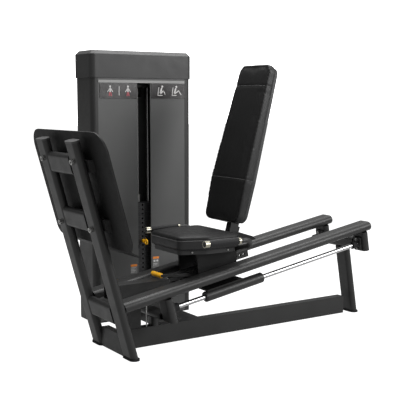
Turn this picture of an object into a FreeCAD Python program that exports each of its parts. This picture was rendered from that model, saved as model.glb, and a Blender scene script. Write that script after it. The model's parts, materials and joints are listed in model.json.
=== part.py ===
import FreeCAD, Part
import math
import os
import Sketcher
from FreeCAD import Placement, Rotation, Vector

# Seated leg press: a seat carriage rolls up two inclined guide rods, away from a fixed
# foot plate, and lifts a weight stack in a tower beside it.
# +X points from the foot plate to the rear, +Y points to the tower, +Z is up.
# The origin is on the floor, in the middle of the footprint.

os.makedirs("parts", exist_ok=True)
doc = FreeCAD.newDocument("LegPress")
sheet = doc.addObject("Spreadsheet::Sheet", "Dims")

# ---------------------------------------------------------------- driving dimensions
# Lengths in mm, angles in degrees. "midx" and "midy" are the footprint's middle, measured
# from the tower's front corner line (x) and from the machine's centre plane (y).
DIMENSIONS = {
    "midx": 463.5, "midy": 167.5,
    # main tubes: an oval 100 x 40 section, the 50 x 98 floor tubes and the 100 x 50 rails
    "ovalwide": 100.0, "ovalthick": 40.0, "wall": 3.0,
    "floorwide": 50.0, "floorhigh": 98.0, "floorgap": 2.0, "feet": 9.0,
    "railwide": 100.0, "railthick": 50.0,
    # leaning uprights of the foot plate
    "lean": 15.4, "uprightx": -165.7, "uprightside": 165.0, "uprighttop": 1031.0,
    "barupper": 930.0, "barlower": 666.0, "earhigh": 54.0, "earthick": 64.0,
    "platebehind": 46.0, "platehalf": 396.0, "plateshift": 10.0, "platelow": 545.0, "platehigh": 1078.0,
    "platethick": 6.0, "padthick": 8.0, "platecorner": 95.0, "plateflange": 52.0,
    # inclined rails, guide rods and their end brackets
    "incline": 10.0, "railside": 160.0, "railrise": 293.2, "rodrise": 202.4,
    "railstart": -212.0, "railend": 1331.0, "roddia": 25.0, "rodstart": 55.0, "rodend": 1278.2,
    "legfloor": 1375.0, "legthick": 40.0, "rearcross": 74.0, "hangerx": 95.9, "hangerlow": 150.0,
    # seat carriage
    "sleevefront": 258.0, "sleeverear": 600.0, "sleevedia": 54.0, "sleevebore": 42.0,
    "cheekside": 90.0, "cheekthick": 8.0,
    "driverise": 301.6, "barhigh": 38.0, "barthick": 12.0, "barfront": 150.0, "barrear": 630.0,
    "holepitch": 25.0, "pindia": 11.0,
    # seat and backrest
    "seatfront": 112.0, "seatrear": 452.0, "seatlow": 488.0, "seatthick": 68.0,
    "seatfronthalf": 140.0, "seatrearhalf": 195.0,
    "backtilt": 16.6, "backx": 436.0, "backlow": 604.0, "backlong": 835.0, "backthick": 60.0,
    "backshell": 17.0, "backtaper": 1.1, "lowerseam": 225.0, "lumbar": 4.1,
    "backtophalf": 132.0, "backmidhalf": 157.0, "pivotx": 526.0, "pivotz": 508.0,
    "gripside": 283.0, "gripfront": 178.0, "griprear": 376.0, "gripz": 535.0,
    # tower and weight stack
    "towerx": -22.0, "towerwide": 620.0, "towery": 516.0, "towerdeep": 199.0,
    "bodytop": 1338.0, "hoodtop": 1484.0, "hoodlip": 6.0, "column": 38.0,
    "slotleft": 254.0, "slotright": 336.0, "panelthick": 3.0,
    "stackx": 300.0, "stacky": 598.0, "platewide": 340.0, "platedeep": 96.0,
    "pitch": 25.4, "plategap": 0.6, "stacktop": 648.0, "platecount": 20, "lifted": 9,
    "shaftside": 64.0, "shaftdia": 24.0, "buffer": 34.0,
    # rope and its pulleys
    "ropedia": 6.0, "ropez": 34.0,
    "beamlow": 262.0, "beamtop": 330.0, "beamhalf": 38.0,
    "wheelx": 40.0, "wheelz": 278.1, "postx": -95.0, "wheelr": 30.1, "bendr": 28.0, "towerr": 40.0, "topr": 41.0,
    "topz": 1271.0, "axledia": 12.0,
}


def fill_sheet():
    for row, (name, value) in enumerate(DIMENSIONS.items(), start=1):
        sheet.set("A%d" % row, name)
        sheet.set("B%d" % row, str(value))
        sheet.setAlias("B%d" % row, name)


fill_sheet()
doc.recompute()


def dim(name):
    return float(sheet.get(name))


# ---------------------------------------------------------------- helpers
TAN_LEAN = math.tan(math.radians(dim("lean")))
TAN_INCLINE = math.tan(math.radians(dim("incline")))
LEAN_UP = Vector(-math.sin(math.radians(dim("lean"))), 0, math.cos(math.radians(dim("lean"))))
RAIL_DIR = Vector(math.cos(math.radians(dim("incline"))), 0, math.sin(math.radians(dim("incline"))))
RAIL_UP = Vector(-RAIL_DIR.z, 0, RAIL_DIR.x)
SIDE = Vector(0, 1, 0)
UP = Vector(0, 0, 1)
REAR = Vector(1, 0, 0)
NODES = []
# like pieces that several parts of the build add to, each list ending up in one node
CAPS, FEET, BOLTS, BUFFERS, CROSS_TUBES = [], [], [], [], []


def at(x, y, z):
    """A point given from the tower corner line, the machine's centre plane and the floor."""
    return Vector(x - dim("midx"), y - dim("midy"), z)


def axes(length_dir, wide_dir):
    """Rotation that turns local Z to length_dir and local X to wide_dir."""
    return Rotation(wide_dir, length_dir.cross(wide_dir), length_dir, "ZXY")


def upright_x(z):
    return dim("uprightx") - TAN_LEAN * z


def rail_z(x):
    return dim("railrise") + TAN_INCLINE * x


def rod_z(x):
    return dim("rodrise") + TAN_INCLINE * x


def drive_z(x):
    return dim("driverise") + TAN_INCLINE * x


def bind(obj, **links):
    for prop, expression in links.items():
        obj.setExpression(prop, expression)
    return obj


def box(name, corner, long, wide, high, rotation=Rotation()):
    """Box with sizes in X, Y and Z, each a number or an expression of the sheet."""
    item = doc.addObject("Part::Box", name)
    for prop, size in (("Length", long), ("Width", wide), ("Height", high)):
        if isinstance(size, str):
            item.setExpression(prop, size)
        else:
            setattr(item, prop, size)
    item.Placement = Placement(corner, rotation)
    return item


def cylinder(name, base, direction, radius, high):
    item = doc.addObject("Part::Cylinder", name)
    for prop, size in (("Radius", radius), ("Height", high)):
        if isinstance(size, str):
            item.setExpression(prop, size)
        else:
            setattr(item, prop, size)
    item.Placement = Placement(base, Rotation(UP, direction))
    return item


def cut(name, base, *tools):
    if len(tools) > 1:
        tool = group(name + "Tools", *tools)
    else:
        tool = tools[0]
    item = doc.addObject("Part::Cut", name)
    item.Base, item.Tool = base, tool
    return item


def fuse(name, *shapes):
    item = doc.addObject("Part::MultiFuse", name)
    item.Shapes = list(shapes)
    item.Refine = True
    return item


def group(name, *shapes):
    item = doc.addObject("Part::Compound", name)
    item.Links = list(shapes)
    return item


def feature(name, shape):
    item = doc.addObject("Part::Feature", name)
    item.Shape = shape
    return item


def node(label, item):
    """Name a finished sub-part. Its label is the name of its file."""
    item.Label = label
    NODES.append(item)
    return item


def add_slot_outline(sketch, wide, thick):
    """Closed outline of two half circles and two straight sides, centred on the sketch."""
    first = sketch.GeometryCount
    reach, radius = 30.0, 20.0
    right = Part.ArcOfCircle(Part.Circle(Vector(reach, 0, 0), UP, radius), -math.pi / 2, math.pi / 2)
    left = Part.ArcOfCircle(Part.Circle(Vector(-reach, 0, 0), UP, radius), math.pi / 2, 3 * math.pi / 2)
    sketch.addGeometry(right, False)
    sketch.addGeometry(left, False)
    sketch.addGeometry(Part.LineSegment(Vector(reach, radius, 0), Vector(-reach, radius, 0)), False)
    sketch.addGeometry(Part.LineSegment(Vector(-reach, -radius, 0), Vector(reach, -radius, 0)), False)
    joints = ((first, 2, first + 2, 1), (first + 2, 2, first + 1, 1),
              (first + 1, 2, first + 3, 1), (first + 3, 2, first, 1))
    for joint in joints:
        sketch.addConstraint(Sketcher.Constraint("Tangent", *joint))
    sketch.addConstraint(Sketcher.Constraint("Symmetric", first, 3, first + 1, 3, -1, 1))
    sketch.addConstraint(Sketcher.Constraint("PointOnObject", first, 3, -1))
    sketch.addConstraint(Sketcher.Constraint("Equal", first, first + 1))
    radius_row = sketch.addConstraint(Sketcher.Constraint("Radius", first, radius))
    reach_row = sketch.addConstraint(Sketcher.Constraint("DistanceX", first + 1, 3, first, 3, 2 * reach))
    sketch.setExpression("Constraints[%d]" % radius_row, "(%s) / 2" % thick)
    sketch.setExpression("Constraints[%d]" % reach_row, "(%s) - (%s)" % (wide, thick))


def plane_of(body, role):
    return next(item for item in body.Origin.OriginFeatures if item.Role == role)


def new_sketch(body, name, role="XY_Plane"):
    sketch = body.newObject("Sketcher::SketchObject", name)
    sketch.AttachmentSupport = (plane_of(body, role), [""])
    sketch.MapMode = "FlatFace"
    return sketch


def oval(name, start, direction, wide_dir, length, wide="Dims.ovalwide", thick="Dims.ovalthick",
         wall="Dims.wall"):
    """Oval tube as a body: one sketch with an outer and an inner outline, padded along local Z."""
    body = doc.addObject("PartDesign::Body", name)
    sketch = new_sketch(body, name + "Section")
    add_slot_outline(sketch, wide, thick)
    if wall:
        add_slot_outline(sketch, "%s - 2 * %s" % (wide, wall), "%s - 2 * %s" % (thick, wall))
    pad = body.newObject("PartDesign::Pad", name + "Pad")
    pad.Profile = sketch
    if isinstance(length, str):
        pad.setExpression("Length", length)
    else:
        pad.Length = length
    body.Placement = Placement(start, axes(direction, wide_dir))
    return body


def oval_plate(name, centre, direction, wide_dir, length, margin):
    """Solid oval block, wider than the main tube's section by margin all round."""
    grown = "Dims.ovalwide + %s" % (2 * margin), "Dims.ovalthick + %s" % (2 * margin)
    return oval(name, centre, direction, wide_dir, length, grown[0], grown[1], None)


def polygon_prism(name, points, depth):
    """Straight-sided plate from its outline's corners and a depth vector."""
    wire = Part.makePolygon(points + [points[0]])
    return feature(name, Part.Face(wire).extrude(depth))


def bolt(name, base, direction, dia, head_high=0.62):
    """Button-head bolt seen from outside: a low cylinder with a hexagon socket."""
    head = cylinder(name + "Head", base, direction, dia / 2, dia * head_high)
    socket_plane = Part.makePolygon([Vector(math.cos(math.radians(a)), math.sin(math.radians(a)), 0)
                                     * (dia * 0.27) for a in range(0, 361, 60)])
    socket = feature(name + "Socket", Part.Face(socket_plane).extrude(UP * dia))
    socket.Placement = Placement(base + direction * (dia * head_high * 0.45), Rotation(UP, direction))
    return cut(name, head, socket)


def pulley(name, centre, axis, radius, wide, bore):
    """Grooved rope wheel, turned as one piece round its bore. The groove's floor is at radius."""
    lip, half = radius + 8.0, wide / 2
    body = doc.addObject("PartDesign::Body", name)
    sketch = new_sketch(body, name + "Profile", "XZ_Plane")
    outline = [(bore, -half), (lip, -half), (radius, -3.0), (radius, 3.0), (lip, half), (bore, half)]
    ends = outline[1:] + outline[:1]
    for (r0, z0), (r1, z1) in zip(outline, ends):
        sketch.addGeometry(Part.LineSegment(Vector(r0, z0, 0), Vector(r1, z1, 0)), False)
    turned = body.newObject("PartDesign::Revolution", name + "Turned")
    turned.Profile = sketch
    turned.ReferenceAxis = (sketch, ["V_Axis"])
    turned.Angle = 360
    body.Placement = Placement(centre, Rotation(UP, axis))
    return body


def rope(name, points, radii):
    """Round rope through the points: straight runs joined by tangent arcs of the given radii."""
    edges, last = [], points[0]
    for before, corner, after, radius in zip(points, points[1:], points[2:], radii):
        into, out = (corner - before).normalize(), (after - corner).normalize()
        turn = into.getAngle(out)
        reach = radius * math.tan(turn / 2)
        start, end = corner - into * reach, corner + out * reach
        bisector = (out - into).normalize()
        middle = corner + bisector * (radius / math.cos(turn / 2) - radius)
        edges.append(Part.LineSegment(last, start).toShape())
        edges.append(Part.Arc(start, middle, end).toShape())
        last = end
    edges.append(Part.LineSegment(last, points[-1]).toShape())
    path = Part.Wire(edges)
    first = (points[1] - points[0]).normalize()
    ring = Part.Wire(Part.Circle(points[0], first, dim("ropedia") / 2).toShape())
    tube = path.makePipeShell([ring], True, False)
    expected = math.pi * dim("ropedia") ** 2 / 4 * path.Length
    print(name, "length", round(path.Length, 1), "volume ratio", round(tube.Volume / expected, 4),
          "radii", radii)
    return feature(name, tube)


def floor_wheel_z():
    return dim("ropez") + dim("wheelr")


def bend_x():
    return dim("stackx") - dim("bendr")


# ---------------------------------------------------------------- floor frame
def floor_frame():
    low, front, front_wide = dim("floorgap"), -182.0, 40.0
    low_z, link_wide = low + dim("wall"), 100.0
    wide, high, wall = "Dims.floorwide", "Dims.floorhigh", "Dims.wall"
    inner_wide, inner_high = wide + " - 2 * " + wall, high + " - 2 * " + wall
    half = dim("floorwide") / 2
    # front cross tube between the uprights
    reach = dim("uprightside") - dim("ovalwide") / 2 - 0.5
    outer = box("FrontCrossOuter", at(front, -reach, low), front_wide, 2 * reach, high)
    inner = box("FrontCrossInner", at(front + dim("wall"), -reach - 1, low_z), front_wide - 6,
                2 * reach + 2, inner_high)
    # its lower corners are cut back where the uprights' feet reach in
    reliefs = [box("FootRelief%d" % (side + 1), at(front - 5, side * 112 - 6, low - 1), 60, 12, 9)
               for side in (-1, 1)]
    front_tube = cut("FrontCross", outer, inner, *reliefs)
    # long tube down the centre plane, cut off along the leaning rear leg
    start = front + front_wide + 0.3
    length = 1300.0 - start
    outer = box("SpineOuter", at(start, -half, low), length, wide, high)
    inner = box("SpineInner", at(start - 1, -half + dim("wall"), low + dim("wall")),
                length + 2, inner_wide, inner_high)
    leg_front = at(dim("legfloor"), -200, 0) - RAIL_DIR * (dim("legthick") / 2 + 0.3)
    behind = box("BehindLeg", leg_front - RAIL_UP * 200, 600, 400, 600,
                 Rotation(Vector(0, 1, 0), -dim("incline")))
    slot = box("RopeSlot", at(dim("wheelx") - 44, -12, low + dim("floorhigh") - 10), 84, 24, 20)
    side_opening = box("SideOpening", at(233, 0, low_z), link_wide - 6, 60, inner_high)
    bore = cylinder("SpineAxleBore", at(dim("wheelx"), -60, floor_wheel_z()), SIDE,
                    "Dims.axledia / 2 + 0.02", 120)
    node("floor_spine_tube", cut("Spine", outer, inner, behind, slot, side_opening, bore))
    # link tube from the spine to the tower's base
    link_y = half + 0.2
    link_long = dim("towery") - link_y - 0.3
    outer = box("LinkOuter", at(230, link_y, low), link_wide, link_long, high)
    inner = box("LinkInner", at(233, link_y - 1, low_z), link_wide - 6, link_long + 2, inner_high)
    node("floor_cross_tubes", group("FloorCross", front_tube, cut("Link", outer, inner)))


# ---------------------------------------------------------------- uprights and foot plate
def uprights():
    long = dim("uprighttop") / LEAN_UP.z
    floor = box("FloorBelow", at(-700, -700, -200), 1400, 1400, 200 + dim("feet") + 0.2)
    for side, name in ((-1, "left"), (1, "right")):
        y = side * dim("uprightside")
        base = at(dim("uprightx"), y, 0) - LEAN_UP * 30
        tube = oval("Upright" + name, base, LEAN_UP, SIDE, long + 30)
        node("upright_" + name, cut("UprightTrim" + name, tube, floor))
        top = at(upright_x(dim("uprighttop")), y, dim("uprighttop"))
        CAPS.append(oval_plate("UprightCap" + name, top + LEAN_UP * 0.2, LEAN_UP, SIDE, 9, 1.5))
        foot_x = upright_x(4)
        FEET.append(oval_plate("UprightFoot" + name, at(foot_x, y, 0), UP, SIDE, "Dims.feet", 6))


def foot_plate():
    gap = dim("uprightside") - dim("ovalwide") / 2 - 0.3
    for level, name in (("barupper", "upper"), ("barlower", "lower")):
        start = at(upright_x(dim(level)), -gap, dim(level))
        CROSS_TUBES.append(oval("PlateBar" + name, start, SIDE, LEAN_UP, 2 * gap))
    # stand-off ears: short level blocks from each upright back to the plate
    behind = dim("platebehind")
    ears = []
    for level, bolt_level in ((925.0, 951.0), (655.0, 641.0)):
        for side in (-1, 1):
            y = side * (dim("uprightside") + 67 - dim("earthick") / 2)
            low, high = level - dim("earhigh") / 2, level + dim("earhigh") / 2
            start, end = dim("ovalthick") / 2 + 0.8, behind - 0.3
            corners = [at(upright_x(low) + start, y, low), at(upright_x(low) + end, y, low),
                       at(upright_x(high) + end, y, high), at(upright_x(high) + start, y, high)]
            thick = SIDE * dim("earthick")
            corners = [corner - thick * 0.5 for corner in corners]
            ears.append(polygon_prism("Ear%d%d" % (level, side + 1), corners, thick))
            front = at(upright_x(bolt_level), side * dim("uprightside"), bolt_level)
            front -= Vector(LEAN_UP.z, 0, -LEAN_UP.x) * (dim("ovalthick") / 2 + 0.1)
            BOLTS.append(bolt("PlateBolt%d%d" % (level, side + 1), front,
                              Vector(-LEAN_UP.z, 0, LEAN_UP.x), 24.0))
    node("plate_ears", group("Ears", *ears))
    blank = feature("FootPlateBlank", rounded_plate(behind, dim("platethick"), 0.0))
    node("foot_mat", feature("FootMat", rounded_plate(behind + (dim("platethick") + 0.2)
                                                      / LEAN_UP.z, dim("padthick"), 10.0)))
    # ledge bent towards the user along the plate's lower edge
    low = dim("platelow") + 2
    x0 = upright_x(low) + behind + 1
    ledge = Vector(dim("plateflange"), 0, -30)
    half = dim("platehalf") - 34
    across = ledge.cross(SIDE).normalize() * dim("platethick")
    bend = at(x0, dim("plateshift") - half, low - 1.5)
    corners = [bend, bend + ledge, bend + ledge + across, bend + across]
    ledge_plate = polygon_prism("HeelLedge", corners, SIDE * (2 * half))
    node("foot_plate", fuse("FootPlate", blank, ledge_plate))


def rounded_plate(behind, thick, inset):
    """Leaning plate with large upper and smaller lower corners, behind the uprights' axis."""
    half = dim("platehalf") - inset
    low, high = dim("platelow") + inset, dim("platehigh") - inset
    normal = Vector(LEAN_UP.z, 0, -LEAN_UP.x)
    long = (high - low) / LEAN_UP.z
    big, small = dim("platecorner") - inset, 46.0 - inset / 2
    corners = ((-half, 0, small), (half, 0, small), (half, long, big), (-half, long, big))
    origin = at(upright_x(low) + behind, dim("plateshift"), low)

    def spot(y, s):
        return origin + SIDE * y + LEAN_UP * s

    edges, ends = [], []
    for index, (y, s, radius) in enumerate(corners):
        before, after = corners[index - 1], corners[(index + 1) % 4]
        corner = spot(y, s)
        into = (corner - spot(before[0], before[1])).normalize()
        out = (spot(after[0], after[1]) - corner).normalize()
        middle = corner + (out - into) * radius * (1 - math.sqrt(0.5))
        ends.append((corner - into * radius, corner + out * radius))
        edges.append(Part.Arc(corner - into * radius, middle, corner + out * radius).toShape())
    for index in range(4):
        edges.append(Part.LineSegment(ends[index - 1][1], ends[index][0]).toShape())
    wire = Part.Wire(Part.__sortEdges__(edges))
    return Part.Face(wire).extrude(normal * thick)


# ---------------------------------------------------------------- rails, rods and rear leg
def rails():
    for side, name in ((-1, "left"), (1, "right")):
        y = side * dim("railside")
        start = at(dim("railstart"), y, rail_z(dim("railstart")))
        long = (dim("railend") - dim("railstart")) / RAIL_DIR.x - 12
        tube = oval("Rail" + name, start, RAIL_DIR, SIDE, long + 40, "Dims.railwide", "Dims.railthick")
        tube.Placement = Placement(start - RAIL_DIR * 40, tube.Placement.Rotation)
        front = at(upright_x(200), -400, 200) + Vector(LEAN_UP.z, 0, -LEAN_UP.x) * (
            dim("ovalthick") / 2 + 0.4)
        ahead = box("AheadOfUpright" + name, front - REAR * 300 - LEAN_UP * 200, 300, 800, 600,
                    Rotation(Vector(0, 1, 0), -dim("lean")))
        ahead.Placement.Base = front - Vector(LEAN_UP.z, 0, -LEAN_UP.x) * 300 - LEAN_UP * 200
        node("rail_" + name, cut("RailTrim" + name, tube, ahead))
        end = start + RAIL_DIR * (long + 0.2)
        cap = oval("RailCap" + name, end, RAIL_DIR, SIDE, 12, "Dims.railwide", "Dims.railthick", None)
        rim = doc.addObject("Part::Fillet", "RailCapDome" + name)
        rim.Base = cap
        doc.recompute()
        far = [index + 1 for index, edge in enumerate(cap.Shape.Edges)
               if abs((edge.CenterOfMass - (end + RAIL_DIR * 12)).dot(RAIL_DIR)) < 0.1]
        rim.Edges = [(index, 10.0, 10.0) for index in far]
        CAPS.append(rim)


def rear_frame():
    """Rear leg square to the rails, with a cross tube and a bracket under each rail's end."""
    foot = at(dim("legfloor"), 0, 0)
    # distances along the leg's axis, from the floor
    rail_reach, half_rail = 527.4, dim("railthick") / 2
    cross_low, cross_wide, bracket_low = 393.0, dim("rearcross"), 396.0
    top = rail_reach - half_rail - 0.4
    floor = box("FloorBelowLeg", at(1100, -300, -200), 600, 600, 200 + dim("feet") + 0.2)
    leg = oval("Leg", foot - RAIL_UP * 30, RAIL_UP, SIDE, cross_low + 30 - 0.3,
               "Dims.ovalwide", "Dims.legthick")
    node("rear_leg", cut("LegTrim", leg, floor))
    brackets = []
    for side in (-1, 1):
        start = foot + RAIL_UP * bracket_low + SIDE * (side * dim("railside"))
        brackets.append(oval("RearBracket%d" % (side + 1), start, RAIL_UP, SIDE, top - bracket_low))
    gap = dim("railside") - dim("ovalwide") / 2 - 0.3
    start = foot + RAIL_UP * (cross_low + cross_wide / 2) - SIDE * gap
    cross = oval("RearCross", start, SIDE, RAIL_UP, 2 * gap, "Dims.rearcross")
    node("rear_crosshead", group("RearCrosshead", cross, *brackets))
    foot_spot = at(dim("legfloor") - 1, 0, 0)
    FEET.append(oval_plate("LegFoot", foot_spot, UP, SIDE, "Dims.feet", 6))


def front_hangers():
    """Two short posts that hang from the rails' front, on a cross tube over the floor tube."""
    hangers = []
    low = dim("hangerlow")
    for side in (-1, 1):
        y = side * dim("railside")
        x_low = dim("hangerx") - TAN_LEAN * low
        start = at(x_low, y, low)
        tube = oval("Hanger%d" % (side + 1), start - LEAN_UP * 20, LEAN_UP, SIDE, 190)
        below = box("HangerBelow%d" % (side + 1), at(-200, y - 100, low - 100), 500, 200, 100)
        above_start = at(-200, y - 100, rail_z(-200)) - RAIL_UP * (dim("railthick") / 2 + 0.4)
        above = box("HangerAbove%d" % (side + 1), above_start, 600, 200, 200,
                    Rotation(Vector(0, 1, 0), -dim("incline")))
        hangers.append(cut("HangerTrim%d" % (side + 1), tube, below, above))
    gap = dim("railside") - dim("ovalwide") / 2 - 0.3
    middle = low + dim("ovalthick") / 2
    x_mid = dim("hangerx") - TAN_LEAN * middle
    cross = oval("FrontHangerCross", at(x_mid, -gap, middle), SIDE,
                 Vector(LEAN_UP.z, 0, -LEAN_UP.x), 2 * gap, "62.0", "36.0")
    pedestal_low = dim("floorgap") + dim("floorhigh") + 0.2
    pedestal = oval("Pedestal", at(x_mid, 0, pedestal_low), UP, SIDE, low - 4.5 - pedestal_low,
                    "64.0", "40.0")
    node("front_crosshead", group("FrontCrosshead", cross, pedestal, *hangers))


def guide_rods():
    flanges, rods = [], []
    front_x, rear_x = dim("rodstart"), dim("rodend")
    for side, name in ((-1, "left"), (1, "right")):
        y = side * dim("railside")
        start = at(front_x + 14, y, rod_z(front_x + 14))
        long = (rear_x - front_x - 24) / RAIL_DIR.x
        rods.append(cylinder("Rod" + name, start + RAIL_DIR * 1.8, RAIL_DIR, "Dims.roddia / 2", long - 1.8))
        for place, sense in ((start, -1), (start + RAIL_DIR * long, 1)):
            tag = name + ("F" if sense < 0 else "R")
            if sense < 0:
                lay, turn = Vector(LEAN_UP.z, 0, -LEAN_UP.x), -dim("lean")
            else:
                lay, turn = RAIL_DIR, -dim("incline")
            corner = place - Rotation(Vector(0, 1, 0), turn).multVec(Vector(0, 26, 37))
            base = corner - (lay * 10.6 if sense < 0 else lay * -0.6)
            plate = box("Flange" + tag, base, 10, 52, 74, Rotation(Vector(0, 1, 0), turn))
            flanges.append(plate)
            for low in (-1, 1):
                spot = place + (lay * (0 if sense < 0 else 0)) + Rotation(
                    Vector(0, 1, 0), turn).multVec(Vector(-0.6 if sense < 0 else 0.6, 0, 27 * low))
                BOLTS.append(bolt("FlangeBolt%s%d" % (tag, low + 1), spot,
                                  lay if sense < 0 else lay * -1, 12.0))
            ring_at = place + RAIL_DIR * (3 if sense < 0 else -40)
            ring = cylinder("Bumper" + tag, ring_at, RAIL_DIR, 20, 24)
            bore = cylinder("BumperBore" + tag, ring_at - RAIL_DIR, RAIL_DIR, "Dims.roddia / 2 + 0.3", 26)
            BUFFERS.append(cut("BumperRing" + tag, ring, bore))
    node("guide_rods", group("Rods", *rods))
    node("rod_flanges", group("Flanges", *flanges))


# ---------------------------------------------------------------- rope housing at the front
def front_beam():
    """Level box tube from the front floor tube's post to a point under the seat, with the
    first rope wheel inside it and a slot under the wheel."""
    low, high, half = dim("beamlow"), dim("beamtop"), dim("beamhalf")
    start, end = -205.0, 121.0
    outer = box("BeamOuter", at(start, -half, low), end - start, 2 * half, high - low)
    inner = box("BeamInner", at(start - 1, -half + 3, low + 3), end - start + 2, 2 * half - 6,
                high - low - 6)
    slot = box("BeamSlot", at(dim("wheelx") - 52, -14, low - 5), 108, 28, 12)
    lean_normal = Vector(LEAN_UP.z, 0, -LEAN_UP.x)
    upright_face = at(upright_x(low), -100, low) + lean_normal * 24
    ahead = box("AheadOfBeam", upright_face - lean_normal * 300 - LEAN_UP * 200, 300, 300, 600,
                Rotation(SIDE, -dim("lean")))
    bore = cylinder("BeamAxleBore", at(dim("wheelx"), -60, dim("wheelz")), SIDE,
                    "Dims.axledia / 2 + 0.02", 120)
    post_low = dim("floorgap") + dim("floorhigh") + 0.3
    post = box("BeamPost", at(dim("postx"), -22, post_low), 62, 44, low - 0.3 - post_low)
    node("front_beam", group("BeamAndPost", cut("Beam", outer, inner, slot, ahead, bore), post))
    cross_z = low - 0.5 - dim("ovalwide") / 2
    cross_x = upright_x(cross_z)
    gap = dim("uprightside") - dim("ovalwide") / 2 - 0.3
    CROSS_TUBES.append(oval("BeamCross", at(cross_x, -gap, cross_z), SIDE, LEAN_UP, 2 * gap))
    radius, floor_half = "Dims.axledia / 2", dim("floorwide") / 2
    x, tower_x = dim("wheelx"), dim("stackx") - 46
    axle = cylinder("FrontAxle", at(x, -half - 5, dim("wheelz")), SIDE, radius, 2 * half + 10)
    low_axle = cylinder("LowAxle", at(x, -floor_half + 0.4, floor_wheel_z()), SIDE, radius,
                        2 * floor_half - 0.8)
    bend_axle = cylinder("BendAxle", at(bend_x(), dim("bendr"), dim("floorgap") + 3.2), UP, radius,
                         dim("floorhigh") - 6.4)
    tower_axle = cylinder("TowerAxle", at(tower_x, tower_wheel_y(), dim("ropez") + dim("towerr")),
                          REAR, radius, 92)
    top_axle = cylinder("TopAxle", at(tower_x, top_wheel_y(), dim("topz")), REAR, radius, 92)
    node("pulley_axles", group("Axles", axle, low_axle, bend_axle, tower_axle, top_axle))


def tower_wheel_y():
    return top_wheel_y() + 41.2 - dim("towerr")


def top_wheel_y():
    return dim("stacky") - 0.2 + dim("topr") + 0.2


def pulleys():
    """Each groove's floor lies half a rope, and a little clearance, inside the rope's arc."""
    inside, bore = dim("ropedia") / 2 + 0.2, dim("axledia") / 2 + 0.05
    x, low = dim("wheelx"), dim("ropez")
    wheels = (
        ("pulley_front", at(x, 0, dim("wheelz")), SIDE, dim("wheelr")),
        ("pulley_floor", at(x, 0, floor_wheel_z()), SIDE, dim("wheelr")),
        ("pulley_bend", at(bend_x(), dim("bendr"), low), UP, dim("bendr")),
        ("pulley_tower", at(dim("stackx"), tower_wheel_y(), low + dim("towerr")), REAR, dim("towerr")),
        ("pulley_top", at(dim("stackx"), top_wheel_y(), dim("topz")), REAR, dim("topr")),
    )
    for label, centre, axis, radius in wheels:
        node(label, pulley("Wheel_" + label, centre, axis, radius - inside, 18, bore))


def ropes():
    """The rope in its real lie: drive bar, front wheel, floor, tower, top wheel, stack."""
    low, wheel_x, first_radius = dim("ropez"), dim("wheelx"), dim("wheelr")
    tangent = at(wheel_x, 0, dim("wheelz")) + RAIL_UP * first_radius
    mouth = tangent + RAIL_DIR * ((at(118, 0, 0).x - tangent.x) / RAIL_DIR.x)
    down = at(wheel_x - first_radius, 0, 0)
    corner = tangent - RAIL_DIR * ((tangent.x - down.x) / RAIL_DIR.x)
    stack_y, back_y = dim("stacky") - 0.2, top_wheel_y() + 41.2
    top = dim("topz") + dim("topr")
    stack_x = dim("stackx")
    points = [mouth, corner, at(wheel_x - first_radius, 0, low), at(stack_x, 0, low),
              at(stack_x, back_y, low), at(stack_x, back_y, top), at(stack_x, stack_y, top),
              at(stack_x, stack_y, 1240)]
    radii = [first_radius, first_radius, dim("bendr"), dim("towerr"), dim("topr"), dim("topr")]
    node("rope_frame_run", rope("RopeFrame", points, radii))
    start = mouth + RAIL_DIR * 0.3
    end = at(dim("barfront") - 12, 0, drive_z(dim("barfront") - 12))
    reach = (end.x - start.x) / RAIL_DIR.x
    node("rope_drive_run", cylinder("RopeDrive", start, RAIL_DIR, "Dims.ropedia / 2", reach))
    stack_top = dim("stacktop") + 46
    node("rope_stack_run", cylinder("RopeStack", at(dim("stackx"), dim("stacky"), stack_top + 0.3),
                                    UP, "Dims.ropedia / 2", 1239.6 - stack_top))


# ---------------------------------------------------------------- drive bar
def lock_x():
    """Where the lock pin stands, in the middle of the front guide block."""
    return 312.0 + 20 * RAIL_DIR.x


def drive_bar():
    long = (dim("barrear") - dim("barfront")) / RAIL_DIR.x
    start = at(dim("barfront"), -dim("barthick") / 2, drive_z(dim("barfront"))) - RAIL_UP * (
        dim("barhigh") / 2)
    bar = box("BarBlank", start, long, "Dims.barthick", "Dims.barhigh",
              Rotation(Vector(0, 1, 0), -dim("incline")))
    holes = []
    for index in range(17):
        x = lock_x() + (index - 5) * dim("holepitch") * RAIL_DIR.x
        holes.append(cylinder("BarHole%d" % index, at(x, -20, drive_z(x)), SIDE,
                              "Dims.pindia / 2 + 0.4", 40))
    # the bar's front end is turned down to a socket for the rope
    eye_at = at(dim("barfront") - 12, 0, drive_z(dim("barfront") - 12)) + RAIL_DIR * 0.3
    socket = cylinder("RopeSocket", eye_at, RAIL_DIR, 9, 20)
    node("drive_bar", fuse("BarWithSocket", cut("Bar", bar, *holes), socket))


# ---------------------------------------------------------------- seat carriage
def along_rod(x, y, up):
    """Point beside the guide rod's line, up being the distance square to it."""
    return at(x, y, rod_z(x)) + RAIL_UP * up


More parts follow.
